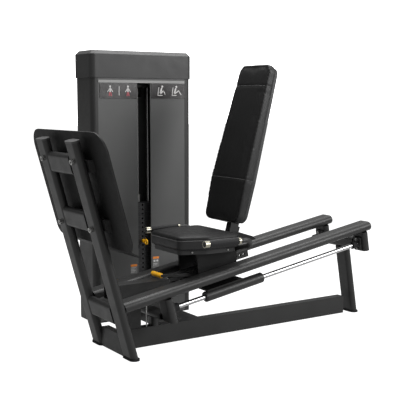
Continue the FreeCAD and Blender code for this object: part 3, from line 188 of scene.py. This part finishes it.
def vinyl(name, color, rough, light_color):
    """Upholstery vinyl: leather-like cells, faint creases and a worn gloss."""
    material, tree, shader = new_material(name, color, rough, specular=0.24)
    vector = object_coords(tree)
    cells = tree.nodes.new("ShaderNodeTexVoronoi")
    cells.feature = "DISTANCE_TO_EDGE"
    cells.inputs["Scale"].default_value = 620.0
    warp = noise(tree, vector, 90.0, 3.0)
    bend = tree.nodes.new("ShaderNodeVectorMath")
    bend.operation = "MULTIPLY_ADD"
    joined = tree.nodes.new("ShaderNodeCombineXYZ")
    for socket in joined.inputs[:3]:
        tree.links.new(warp, socket)
    tree.links.new(joined.outputs[0], bend.inputs[0])
    bend.inputs[1].default_value = (0.004, 0.004, 0.004)
    tree.links.new(vector, bend.inputs[2])
    tree.links.new(bend.outputs[0], cells.inputs["Vector"])
    grain = remap(tree, cells.outputs["Distance"], 0.0, 1.0, 0.0, 0.25)
    crease = noise(tree, vector, 34.0, 6.0, 0.6)
    cloud = noise(tree, vector, 5.0, 4.0)
    tree.links.new(mix_colors(tree, remap(tree, cloud, 0.0, 1.0), color, light_color),
                   shader.inputs["Base Color"])
    tree.links.new(remap(tree, crease, rough - 0.06, rough + 0.08), shader.inputs["Roughness"])
    soft = add_bump(tree, shader, crease, 0.12, 0.0012)
    add_bump(tree, shader, grain, 0.35, 0.00022, soft)
    return material


def rubber(name, color, rough=0.72, pattern=None):
    """Rubber: dull, mottled, and with a moulded stipple or diamond tread."""
    material, tree, shader = new_material(name, color, rough, specular=0.2)
    vector = object_coords(tree)
    mottle = noise(tree, vector, 45.0, 5.0)
    light = tuple(value * 1.5 for value in color)
    tree.links.new(mix_colors(tree, remap(tree, mottle, 0.0, 1.0), color, light),
                   shader.inputs["Base Color"])
    tree.links.new(remap(tree, mottle, rough - 0.08, rough + 0.1), shader.inputs["Roughness"])
    fine = noise(tree, vector, 700.0, 2.0)
    normal = add_bump(tree, shader, fine, 0.3, 0.0002)
    if pattern == "tread":
        parts = tree.nodes.new("ShaderNodeSeparateXYZ")
        tree.links.new(vector, parts.inputs[0])
        waves = []
        for sense in (1.0, -1.0):
            slant = math_node(tree, "MULTIPLY", parts.outputs[2], sense)
            total = math_node(tree, "ADD", slant, parts.outputs[1])
            turn = math_node(tree, "MULTIPLY", total, 2.0 * math.pi / 0.014)
            waves.append(math_node(tree, "SINE", turn))
        tread = math_node(tree, "MULTIPLY", waves[0], waves[1])
        add_bump(tree, shader, remap(tree, tread, 0.0, 1.0, 0.0, 0.5), 0.5, 0.0012, normal)
    return material


def metal(name, color, rough, stretch=(1.0, 1.0, 1.0), grain=0.1, spread=0.08):
    """Bare or plated metal with fine drawn lines along one direction."""
    material, tree, shader = new_material(name, color, rough, metal=1.0)
    vector = object_coords(tree, stretch)
    lines = noise(tree, vector, 260.0, 3.0)
    dark = tuple(value * (1.0 - spread) for value in color)
    tree.links.new(mix_colors(tree, remap(tree, lines, 0.0, 1.0), dark, color),
                   shader.inputs["Base Color"])
    tree.links.new(remap(tree, lines, max(rough - 0.04, 0.03), rough + 0.06),
                   shader.inputs["Roughness"])
    add_bump(tree, shader, lines, grain, 0.0001)
    return material


def plastic(name, color, rough, coat=0.0, spread=0.1):
    """Moulded plastic: very fine spark-eroded texture and slight colour flow."""
    material, tree, shader = new_material(name, color, rough, coat=coat)
    vector = object_coords(tree)
    flow = noise(tree, vector, 22.0, 3.0)
    dark = tuple(value * (1.0 - spread) for value in color)
    tree.links.new(mix_colors(tree, remap(tree, flow, 0.0, 1.0), dark, color),
                   shader.inputs["Base Color"])
    tree.links.new(remap(tree, flow, rough - 0.04, rough + 0.05), shader.inputs["Roughness"])
    add_bump(tree, shader, noise(tree, vector, 1300.0, 1.0), 0.25, 0.00012)
    return material


def rope_jacket(name):
    """Steel wire rope in a thin clear jacket: slanting bright strands."""
    material, tree, shader = new_material(name, (0.50, 0.50, 0.49), 0.34)
    vector = object_coords(tree)
    wave = tree.nodes.new("ShaderNodeTexWave")
    wave.bands_direction = "DIAGONAL"
    wave.inputs["Scale"].default_value = 90.0
    tree.links.new(vector, wave.inputs["Vector"])
    fine = noise(tree, vector, 80.0)
    tree.links.new(mix_colors(tree, fine, (0.34, 0.34, 0.335), (0.66, 0.66, 0.65)),
                   shader.inputs["Base Color"])
    add_bump(tree, shader, wave.outputs["Fac"], 0.4, 0.0004)
    return material


PAINT = painted("frame_paint_look", (0.022, 0.022, 0.0217), 0.40, grain=0.10, specular=0.32)
# Painted shade: the carriage under the seat gets a blacker copy of the frame paint, for the shadow it
# sits in.
CARRIAGE_SHADE_PAINT = painted("carriage_shade_paint_look", (0.008, 0.008, 0.0079), 0.42, grain=0.12,
                         specular=0.25)
SHROUD = painted("shroud_look", (0.080, 0.081, 0.080), 0.42, grain=0.0, spread=0.04, specular=0.4)
HOOD = painted("hood_look", (0.036, 0.036, 0.036), 0.40, grain=0.10, spread=0.05, specular=0.3)
COLUMN = painted("column_look", (0.030, 0.030, 0.0295), 0.40, grain=0.10, spread=0.05, specular=0.3)
PLATE_PAINT = painted("plate_paint_look", (0.008, 0.008, 0.008), 0.55, grain=0.12, specular=0.2)
STACK_PAINT = painted("stack_look", (0.02, 0.02, 0.021), 0.4, grain=0.5)
BLACK_VINYL = vinyl("seat_vinyl_look", (0.006, 0.006, 0.0061), 0.46, (0.009, 0.009, 0.0091))
# Painted sheen: the cushions' sides get a lighter, glossier copy of the black vinyl.
SIDE_SHEEN_VINYL = vinyl("side_sheen_vinyl_look", (0.017, 0.017, 0.0173), 0.40, (0.024, 0.024, 0.0243))
# Painted highlight: the piping cords are light grey, for the light line along the seams.
SEAM_HIGHLIGHT_CORD = vinyl("piping_highlight_look", (0.09, 0.09, 0.09), 0.5, (0.13, 0.13, 0.13))
MAT_RUBBER = rubber("foot_mat_look", (0.006, 0.006, 0.0063), pattern="tread")
PLAIN_RUBBER = rubber("rubber_look", (0.011, 0.011, 0.0115))
GRIP_RUBBER = rubber("grip_rubber_look", (0.013, 0.013, 0.0135), 0.6)
CHROME = metal("chrome_look", (0.50, 0.50, 0.50), 0.16, (1.0, 30.0, 30.0), 0.04, 0.04)
ZINC = metal("zinc_look", (0.40, 0.40, 0.39), 0.30, (1.0, 1.0, 1.0), 0.15)
BRUSHED = metal("collar_look", (0.40, 0.38, 0.31), 0.28, (40.0, 1.0, 1.0), 0.12)
DARK_PLASTIC = plastic("black_plastic_look", (0.016, 0.016, 0.0165), 0.5)
CAP_PLASTIC = plastic("cap_look", (0.030, 0.030, 0.030), 0.45)
YELLOW = plastic("yellow_look", (1.0, 0.50, 0.0), 0.45)
PLACARD = plastic("placard_look", (0.030, 0.028, 0.028), 0.22, coat=0.4, spread=0.05)
STRIP = plastic("strip_look", (0.27, 0.27, 0.265), 0.35, spread=0.05)
MARK = plastic("mark_look", (0.62, 0.61, 0.60), 0.5, spread=0.04)
MARK_RED = plastic("mark_red_look", (0.45, 0.06, 0.08), 0.5, spread=0.04)
STICKER = plastic("sticker_look", (0.16, 0.16, 0.158), 0.45, spread=0.08)
ORANGE = plastic("orange_look", (0.75, 0.22, 0.02), 0.45, spread=0.05)
ROPE = rope_jacket("rope_look")

BY_SLOT = {
    "frame_paint": PAINT, "chrome_rod": CHROME, "vinyl": BLACK_VINYL, "rubber": PLAIN_RUBBER,
    "black_plastic": DARK_PLASTIC, "aluminium_trim": BRUSHED, "zinc_steel": ZINC,
    "yellow_plastic": YELLOW, "rope_jacket": ROPE, "plate_steel": STACK_PAINT,
    "shroud_grey": SHROUD, "placard": PLACARD,
}
BY_NODE = {
    "foot_plate": PLATE_PAINT, "foot_mat": MAT_RUBBER, "tube_end_caps": CAP_PLASTIC,
    "shroud_hood": HOOD, "shroud_sides": COLUMN, "handle_grips": GRIP_RUBBER,
    # the carriage pieces take the blacker paint, a painted shade under the seat
    "carriage_cheeks": CARRIAGE_SHADE_PAINT, "carriage_cross_members": CARRIAGE_SHADE_PAINT,
    "drive_bar_guides": CARRIAGE_SHADE_PAINT, "recline_yoke": CARRIAGE_SHADE_PAINT, "pulley_axles": PAINT,
}
for entry in frame["record"]["subparts"]:
    node_object = frame["nodes"][entry["node"]]
    look = BY_NODE.get(entry["node"], BY_SLOT[entry["material_slot"]])
    if not node_object.material_slots:
        node_object.data.materials.append(look)
    for material_slot in node_object.material_slots:
        material_slot.link = "OBJECT"
        material_slot.material = look


# ---------------------------------------------------------------- mesh helpers
def piece_from(mesh, name, body, looks, smooth=True):
    """A piece of the object made from a bmesh or a mesh, riding on a body."""
    if isinstance(mesh, bmesh.types.BMesh):
        data = bpy.data.meshes.new(name)
        mesh.to_mesh(data)
        mesh.free()
    else:
        data = mesh
    data.materials.clear()
    for item in looks:
        data.materials.append(item)
    if smooth:
        data.shade_smooth()
    piece = bpy.data.objects.new(name, data)
    bpy.context.scene.collection.objects.link(piece)
    if body:
        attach(piece, body)
    return piece


def add_modifier(piece, kind, **settings):
    modifier = piece.modifiers.new(kind.title(), kind)
    for key, value in settings.items():
        setattr(modifier, key, value)


def baked(piece):
    """The piece's mesh with its modifiers worked in."""
    graph = bpy.context.evaluated_depsgraph_get()
    graph.update()
    result = bpy.data.meshes.new_from_object(piece.evaluated_get(graph))
    piece.modifiers.clear()
    old = piece.data
    piece.data = result
    bpy.data.meshes.remove(old)


def flat_shape(mesh, outline, y, thick):
    """Extrudes an outline of (x, z) in mm towards the front by thick mm."""
    near = [mesh.verts.new(at(x, y - thick, z)) for x, z in outline]
    far = [mesh.verts.new(at(x, y, z)) for x, z in outline]
    count = len(outline)
    mesh.faces.new(near)
    mesh.faces.new(far[::-1])
    for k in range(count):
        mesh.faces.new((near[k], far[k], far[(k + 1) % count], near[(k + 1) % count]))


def flat_mesh(outlines, y, thick):
    """One mesh of extruded outlines, with its faces turned outwards."""
    mesh = bmesh.new()
    for outline in outlines:
        flat_shape(mesh, outline, y, thick)
    bmesh.ops.recalc_face_normals(mesh, faces=mesh.faces)
    return mesh


def swept(points, radius, closed=False, sides=10):
    """Tube mesh along points, closed into a loop or capped at both ends."""
    mesh = bmesh.new()
    rings = []
    count = len(points)
    side = None
    for index, point in enumerate(points):
        before = points[index - 1] if (index or closed) else point
        after = points[(index + 1) % count] if (index < count - 1 or closed) else point
        along = (after - before).normalized()
        if side is None:
            side = along.orthogonal().normalized()
        side = (side - along * side.dot(along)).normalized()
        other = along.cross(side)
        ring = []
        for step in range(sides):
            turn = 2.0 * math.pi * step / sides
            outward = side * math.cos(turn) + other * math.sin(turn)
            ring.append(mesh.verts.new(point + outward * radius))
        rings.append(ring)
    spans = count if closed else count - 1
    for index in range(spans):
        first, second = rings[index], rings[(index + 1) % count]
        shift = 0
        if index == count - 1:
            shift = min(range(sides), key=lambda k: (second[k].co - first[0].co).length)
        for step in range(sides):
            mesh.faces.new((first[step], first[(step + 1) % sides],
                            second[(step + 1 + shift) % sides], second[(step + shift) % sides]))
    if not closed:
        mesh.faces.new(rings[0][::-1])
        mesh.faces.new(rings[-1])
    bmesh.ops.recalc_face_normals(mesh, faces=mesh.faces)
    return mesh


def turned(profile, base, axis):
    """Solid of revolution: profile of (distance along axis, radius), closed at both ends."""
    steps = 32
    mesh = bmesh.new()
    side = axis.orthogonal().normalized()
    other = axis.cross(side)
    rings = []
    for along, radius in profile:
        centre = base + axis * along
        ring = []
        for k in range(steps):
            turn = 2 * math.pi * k / steps
            outward = side * math.cos(turn) + other * math.sin(turn)
            ring.append(mesh.verts.new(centre + outward * radius))
        rings.append(ring)
    for first, second in zip(rings, rings[1:]):
        for k in range(steps):
            mesh.faces.new((first[k], first[(k + 1) % steps], second[(k + 1) % steps], second[k]))
    mesh.faces.new(rings[0][::-1])
    mesh.faces.new(rings[-1])
    bmesh.ops.recalc_face_normals(mesh, faces=mesh.faces)
    return mesh


# ---------------------------------------------------------------- upholstery
def slice_loop(data, point, normal, lift):
    """The closed line where a plane cuts a mesh, lifted off it and evened out."""
    mesh = bmesh.new()
    mesh.from_mesh(data)
    mesh.normal_update()
    cut = bmesh.ops.bisect_plane(mesh, geom=mesh.verts[:] + mesh.edges[:] + mesh.faces[:],
                                 plane_co=point, plane_no=normal)
    edges = [item for item in cut["geom_cut"] if isinstance(item, bmesh.types.BMEdge)]
    links = {}
    for edge in edges:
        for first, second in (tuple(edge.verts), tuple(edge.verts)[::-1]):
            links.setdefault(first, []).append(second)
    start = next(iter(links))
    loop, last, here = [start], None, start
    while True:
        following = [vert for vert in links[here] if vert is not last]
        if not following or following[0] is start:
            break
        last, here = here, following[0]
        loop.append(here)
    spots = [vert.co + vert.normal * lift for vert in loop]
    mesh.free()
    total = [0.0]
    for first, second in zip(spots, spots[1:] + spots[:1]):
        total.append(total[-1] + (second - first).length)
    wanted = int(total[-1] / 0.006)
    even, place = [], 0
    ring = spots + spots[:1]
    for index in range(wanted):
        length = total[-1] * index / wanted
        while total[place + 1] < length:
            place += 1
        share = (length - total[place]) / max(total[place + 1] - total[place], 1e-9)
        even.append(ring[place].lerp(ring[place + 1], share))
    for _ in range(3):
        even = [(even[i - 1] + even[i] * 2 + even[(i + 1) % wanted]) / 4 for i in range(wanted)]
    return even


PAD_SHRINK = 0.002      # how far inside its outline a cushion starts
PAD_CAP = 0.007         # the most that the cloth may move a point
PAD_PRESSURE = 9.0
PAD_FRAMES = 20


def cloth_swell(piece, start):
    """Where the points lie after the cushion's skin has been blown up as cloth."""
    cloth = piece.modifiers.new("Cloth", "CLOTH")
    settings = cloth.settings
    settings.quality = 5
    settings.mass = 0.3
    settings.tension_stiffness = 15.0
    settings.compression_stiffness = 15.0
    settings.shear_stiffness = 8.0
    settings.bending_stiffness = 0.6
    settings.use_pressure = True
    settings.uniform_pressure_force = PAD_PRESSURE
    settings.effector_weights.gravity = 0.0
    cloth.collision_settings.use_collision = False
    cloth.point_cache.frame_start = 1
    cloth.point_cache.frame_end = PAD_FRAMES
    scene = bpy.context.scene
    for step in range(1, PAD_FRAMES + 1):
        scene.frame_set(step)
    graph = bpy.context.evaluated_depsgraph_get()
    blown = [vert.co.copy() for vert in piece.evaluated_get(graph).data.vertices]
    piece.modifiers.clear()
    scene.frame_set(1)
    return [after - before for before, after in zip(start, blown)]


def sew(data, grooves):
    """Presses each seam in: a groove is (point, plane normal, depth, half width)."""
    for point, normal, depth, width in grooves:
        for vert in data.vertices:
            away = (vert.co - point).dot(normal)
            if abs(away) < width * 3:
                inward = vert.normal - normal * vert.normal.dot(normal)
                vert.co -= inward * depth * math.exp(-(away / width) ** 2)


def padded_piece(node, name, body, grooves, is_front, ease=4):
    """A cushion that starts inside the CAD pad, is blown up as cloth, and is then sewn."""
    source = frame["nodes"][node]
    piece = piece_from(source.data.copy(), name, body, (BLACK_VINYL, SIDE_SHEEN_VINYL))
    add_modifier(piece, "REMESH", mode="VOXEL", voxel_size=0.006, use_smooth_shade=True)
    baked(piece)
    data = piece.data
    normals = [vert.normal.copy() for vert in data.vertices]
    for vert, normal in zip(data.vertices, normals):
        vert.co -= normal * PAD_SHRINK
    start = [vert.co.copy() for vert in data.vertices]
    moves = cloth_swell(piece, start)
    for vert, before, move, normal in zip(data.vertices, start, moves, normals):
        least = PAD_SHRINK - move.dot(normal)
        if least > 0.0:
            move += normal * least
        if move.length > PAD_CAP:
            move *= PAD_CAP / move.length
        vert.co = before + move
    sew(data, grooves)
    add_modifier(piece, "SMOOTH", factor=0.5, iterations=ease)
    add_modifier(piece, "SUBSURF", levels=1, render_levels=1)
    baked(piece)
    # faces that are not the front take the lighter side vinyl, a painted sheen
    for face in piece.data.polygons:
        face.material_index = 0 if is_front(face.center, face.normal) else 1
    piece.data.shade_smooth()
    return piece


def piping(cushion, name, body, point, normal, radius=0.0014):
    """A thin cord laid in the seam where a plane cuts the cushion."""
    loop = slice_loop(cushion.data, point, normal, 0.0006)
    piece_from(swept(loop, radius, closed=True, sides=8), name, body, (SEAM_HIGHLIGHT_CORD,))


def make_seat():
    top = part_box("seat_pad")[1][2]
    seam = UP * (top - 0.021)
    cushion = padded_piece("seat_pad", "seat_cushion", "carriage", ((seam, UP, 0.0022, 0.004),),
                           lambda centre, normal: centre.z > seam.z, 8)
    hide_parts("seat_pad")
    piping(cushion, "seat_piping", "carriage", seam, UP)


def make_backrest():
    base = at(436.0, 0.0, 604.0)
    lower, upper = base + BACK_UP * 0.225, base + BACK_UP * 0.718
    edge = base + BACK_REAR * 0.016
    cushion = padded_piece(
        "backrest_pad", "backrest_cushion", "backrest",
        ((lower, BACK_UP, 0.0026, 0.005), (upper, BACK_UP, 0.0026, 0.005),
         (edge, BACK_REAR, 0.0016, 0.004)),
        lambda centre, normal: normal.dot(BACK_REAR) < -0.55)
    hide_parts("backrest_pad")
    piping(cushion, "backrest_lower_seam", "backrest", lower, BACK_UP, 0.0011)
    piping(cushion, "backrest_upper_seam", "backrest", upper, BACK_UP, 0.0011)


make_seat()
make_backrest()


# ---------------------------------------------------------------- handles and lever
def make_grips():
    first = True
    for side, name in ((-1, "left"), (1, "right")):
        start = at(194.5, side * GRIP_Y, GRIP_Z)
        long = 0.171
        profile = [(0.0, 0.0127), (0.0, 0.0152), (0.002, 0.0161)]
        ribs = 17
        for index in range(ribs):
            here = 0.006 + (long - 0.012) * index / ribs
            step = (long - 0.012) / ribs
            profile += [(here + step * 0.1, 0.0156), (here + step * 0.3, 0.0164),
                        (here + step * 0.7, 0.0164), (here + step * 0.9, 0.0156)]
        profile += [(long - 0.002, 0.0161), (long, 0.0152), (long, 0.0127)]
        grip = piece_from(turned(profile, start, FORE), "grip_" + name,
                          "carriage", (GRIP_RUBBER,))
        front = at(170.0, side * GRIP_Y, GRIP_Z)
        plug = [(0.0, 0.0136), (-0.0008, 0.0130), (-0.0016, 0.0110), (-0.0020, 0.0060)]
        piece_from(turned(plug, front, FORE), "grip_plug_" + name,
                   "carriage", (DARK_PLASTIC,))
        if first:
            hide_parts("handle_grips")
            first = False


def make_lever():
    lock_x = 312.0 + 20.0 * RAIL.x
    lock_z = RAIL_Z + math.tan(INCLINE) * lock_x
    grip_x, grip_z = 78.0, 352.0
    outline = [(lock_x + 52.0, lock_z - 39.0), (lock_x + 52.0, lock_z - 21.0),
               (grip_x + 4.0, grip_z + 8.0), (grip_x - 6.0, grip_z + 6.0),
               (grip_x - 6.0, grip_z - 6.0), (grip_x + 40.0, grip_z - 8.0)]
    mesh = flat_mesh([outline], -38.0, 6.0)
    arm = piece_from(mesh, "lever_arm", "lever", (PAINT,), smooth=False)
    add_modifier(arm, "BEVEL", width=0.0015, segments=3)
    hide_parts("release_lever")
    long = 0.092
    profile = [(0.0, 0.004), (0.0, 0.0095), (0.0015, 0.0112), (0.004, 0.0119)]
    for index in range(7):
        here = 0.010 + index * 0.0108
        profile += [(here, 0.0118), (here + 0.002, 0.0111), (here + 0.004, 0.0118),
                    (here + 0.007, 0.0120)]
    profile += [(long - 0.005, 0.0119), (long - 0.002, 0.0110), (long, 0.0085), (long, 0.004)]
    piece_from(turned(profile, at(grip_x, -37.8, grip_z), SIDE), "lever_grip", "lever",
               (YELLOW,))


make_grips()
make_lever()


# ---------------------------------------------------------------- the rope's moving runs
def straight_rope(name, node, start, end):
    """A straight run between two points, one at each of two bodies; it rides on neither."""
    count = max(int((end - start).length / 0.006), 4)
    points = [start.lerp(end, index / count) for index in range(count + 1)]
    mesh = swept(points, 0.003, sides=14)
    rope = piece_from(mesh, name, None, (ROPE,))
    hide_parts(node)
    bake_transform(rope)


def make_ropes():
    wheel = at(40.0, 0.0, 278.1)
    rail_up = Vector((-RAIL.z, 0.0, RAIL.x))
    wheel_radius = 0.0301
    tangent = wheel + rail_up * wheel_radius
    # the run leaves the fixed rope at x = 118 and enters the drive bar at x = 138
    mouth = tangent + RAIL * ((at(118.0, 0, 0).x - tangent.x) / RAIL.x)
    socket = mouth + RAIL * ((at(138.0, 0, 0).x - mouth.x) / RAIL.x)
    straight_rope("rope_to_drive_bar", "rope_drive_run", mouth + RAIL * 0.0003, socket)
    low = at(STACK_X, STACK_Y, 694.3)
    high = at(STACK_X, STACK_Y, 1239.6)
    straight_rope("rope_to_stack", "rope_stack_run", high, low)


make_ropes()


# ---------------------------------------------------------------- placard marks
def bar(x0, z0, x1, z1, wide):
    """Outline of a round-ended bar from one point to another."""
    along = Vector((x1 - x0, z1 - z0)).normalized()
    across = Vector((-along.y, along.x)) * wide / 2
    outline = []
    for centre, turn in (((x0, z0), 0.5), ((x1, z1), -0.5)):
        for step in range(7):
            angle = math.pi * (turn + step / 6.0)
            direction = along * math.cos(angle) + across.normalized() * math.sin(angle)
            outline.append((centre[0] + direction.x * wide / 2, centre[1] + direction.y * wide / 2))
    return outline


def disc(x, z, radius):
    """Outline of a round dot."""
    return [(x + radius * math.cos(math.pi * k / 9), z + radius * math.sin(math.pi * k / 9))
            for k in range(18)]


def marks(name, shapes, y, look):
    """Thin printed shapes that stand on a card or a sticker."""
    piece_from(flat_mesh(shapes, y, 0.35), name, "root", (look,), smooth=False)


def plaque(name, corners, y, thick, look, bevel=0.0006):
    """A thin plate with softened edges; corners are (x0, z0, x1, z1) in mm, one set a plate."""
    outlines = [[(x0, z0), (x1, z0), (x1, z1), (x0, z1)] for x0, z0, x1, z1 in corners]
    mesh = flat_mesh(outlines, y, thick)
    made = piece_from(mesh, name, "root", (look,), smooth=False)
    add_modifier(made, "BEVEL", width=bevel, segments=2)
    return made


def make_marks():
    back = PANEL_Y + 0.8
    strip = plaque("header_strip", [(18.0, 1312.0, 558.0, 1327.0)], back, 2.4, STRIP)
    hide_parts("tower_placards")
    plaque("placard_cards", [(24.0, 1229.0, 253.0, 1311.0), (342.0, 1229.0, 560.0, 1311.0)],
           back, 2.0, PLACARD)
    plaque("stickers", [(202.0, 256.0, 244.0, 310.0), (344.0, 275.0, 386.0, 341.0)], back, 0.6,
           STICKER, 0.0002)
    pale, red = [], []
    # two upright figures, front and back, and a plain scale between them
    for x in (88.0, 196.0):
        pale += [disc(x, 1292.0, 5.5), bar(x, 1283.0, x, 1266.0, 8.0),
                 bar(x - 3.0, 1282.0, x - 15.0, 1264.0, 4.0),
                 bar(x + 3.0, 1282.0, x + 15.0, 1264.0, 4.0)]
        red += [bar(x - 3.5, 1260.0, x - 6.0, 1243.0, 5.0), bar(x + 3.5, 1260.0, x + 6.0, 1243.0, 5.0)]
    pale.append(bar(142.0, 1246.0, 142.0, 1292.0, 4.0))
    # two seated figures, knees bent and legs out
    for x, reach in ((408.0, 22.0), (500.0, 34.0)):
        pale += [disc(x + 4.0, 1294.0, 6.0), bar(x, 1284.0, x - 8.0, 1260.0, 9.0),
                 bar(x - 6.0, 1256.0, x + reach * 0.55, 1272.0, 7.0),
                 bar(x + reach * 0.55, 1272.0, x + reach, 1252.0, 5.0),
                 bar(x - 18.0, 1288.0, x - 24.0, 1248.0, 4.0),
                 bar(x - 24.0, 1246.0, x + 4.0, 1246.0, 4.0)]
    face = PANEL_Y - 1.25
    marks("placard_marks", pale, face, MARK)
    marks("placard_red_marks", red, face, MARK_RED)
    label = PANEL_Y + 0.1
    bands = [[(203.0, 297.0), (243.0, 297.0), (243.0, 308.5), (203.0, 308.5)],
             [(345.0, 328.0), (385.0, 328.0), (385.0, 339.5), (345.0, 339.5)]]
    marks("label_bands", bands, label, ORANGE)
    rows = []
    for x0, top, count in ((206.0, 290.0, 4), (348.0, 300.0, 2)):
        rows += [bar(x0, top - 8.0 * k, x0 + 28.0 - 6.0 * (k % 2), top - 8.0 * k, 2.2)
                 for k in range(count)]
    rows += [disc(356.0, 316.0, 6.0), disc(374.0, 316.0, 6.0)]
    marks("label_rows", rows, label, MARK)


make_marks()


# ---------------------------------------------------------------- studio
def make_floor():
    mesh = bmesh.new()
    reach = 40.0
    corners = [(-reach, -reach), (reach, -reach), (reach, reach), (-reach, reach)]
    mesh.faces.new([mesh.verts.new((x, y, CAD_LOW[2] - 0.0005)) for x, y in corners])
    data = bpy.data.meshes.new("studio_floor")
    mesh.to_mesh(data)
    mesh.free()
    floor = bpy.data.objects.new("studio_floor", data)
    bpy.context.scene.collection.objects.link(floor)
    material, tree, shader = new_material("floor_look", (0.2, 0.2, 0.2), 0.95, specular=0.0)
    shader.inputs["Emission Color"].default_value = (1.0, 1.0, 1.0, 1.0)
    path = tree.nodes.new("ShaderNodeLightPath")
    glow = remap(tree, path.outputs["Is Camera Ray"], 0.40, 1.02)
    tree.links.new(glow, shader.inputs["Emission Strength"])
    data.materials.append(material)


def area_light(name, place, target, size, power, size_y=None):
    """A soft rectangle of light at place, turned towards target."""
    light = bpy.data.lights.new(name, "AREA")
    light.shape = "RECTANGLE"
    light.size = size
    light.size_y = size_y or size
    light.energy = power
    lamp = bpy.data.objects.new(name, light)
    lamp.location = place
    lamp.rotation_mode = "QUATERNION"
    lamp.rotation_quaternion = (Vector(target) - Vector(place)).to_track_quat("-Z", "Y")
    bpy.context.scene.collection.objects.link(lamp)
    lamp.visible_camera = False


def make_world():
    scene = bpy.context.scene
    world = bpy.data.worlds.new("studio")
    world.use_nodes = True
    scene.world = world
    tree = world.node_tree
    background = tree.nodes["Background"]
    coords = tree.nodes.new("ShaderNodeTexCoord")
    parts = tree.nodes.new("ShaderNodeSeparateXYZ")
    tree.links.new(coords.outputs["Generated"], parts.inputs[0])
    # bright overhead and dim at the horizon
    ramp = tree.nodes.new("ShaderNodeValToRGB")
    ramp.color_ramp.elements[0].position = 0.05
    ramp.color_ramp.elements[0].color = (0.035, 0.035, 0.035, 1.0)
    ramp.color_ramp.elements[1].position = 0.9
    ramp.color_ramp.elements[1].color = (0.95, 0.95, 0.95, 1.0)
    tree.links.new(parts.outputs[2], ramp.inputs[0])
    # a little dimmer towards the foot plate
    side = remap(tree, parts.outputs[0], 0.66, 1.0, -0.8, 0.5)
    tree.links.new(side, background.inputs["Strength"])
    # the camera itself sees plain white
    path = tree.nodes.new("ShaderNodeLightPath")
    mix = tree.nodes.new("ShaderNodeMix")
    mix.data_type = "RGBA"
    mix.inputs[7].default_value = (2.4, 2.4, 2.4, 1.0)
    tree.links.new(path.outputs["Is Camera Ray"], mix.inputs[0])
    tree.links.new(ramp.outputs["Color"], mix.inputs[6])
    tree.links.new(mix.outputs[2], background.inputs["Color"])
    scene.view_settings.view_transform = "Standard"
    scene.view_settings.look = "None"


def make_camera():
    camera = bpy.data.cameras.new("camera")
    camera.sensor_width = 36.0
    camera.lens = 77.946
    camera.shift_x = 0.0063
    camera.shift_y = 0.0427
    camera.clip_end = 200.0
    holder = bpy.data.objects.new("camera", camera)
    holder.location = (-2.5277, -3.8514, 1.2)
    holder.rotation_euler = (math.radians(90.0 - 7.458), 0.0, math.radians(-32.837))
    bpy.context.scene.collection.objects.link(holder)
    bpy.context.scene.camera = holder


make_floor()
make_world()
make_camera()
area_light("overhead", (0.4, 0.8, 5.0), (0.0, 0.0, 0.0), 4.6, 320.0)
area_light("key_front_right", (3.6, -5.2, 3.2), (0.0, 0.2, 0.7), 3.0, 300.0, 2.6)
area_light("rim_left", (-4.8, 1.5, 3.0), (0.0, 0.0, 0.6), 2.4, 4.0)
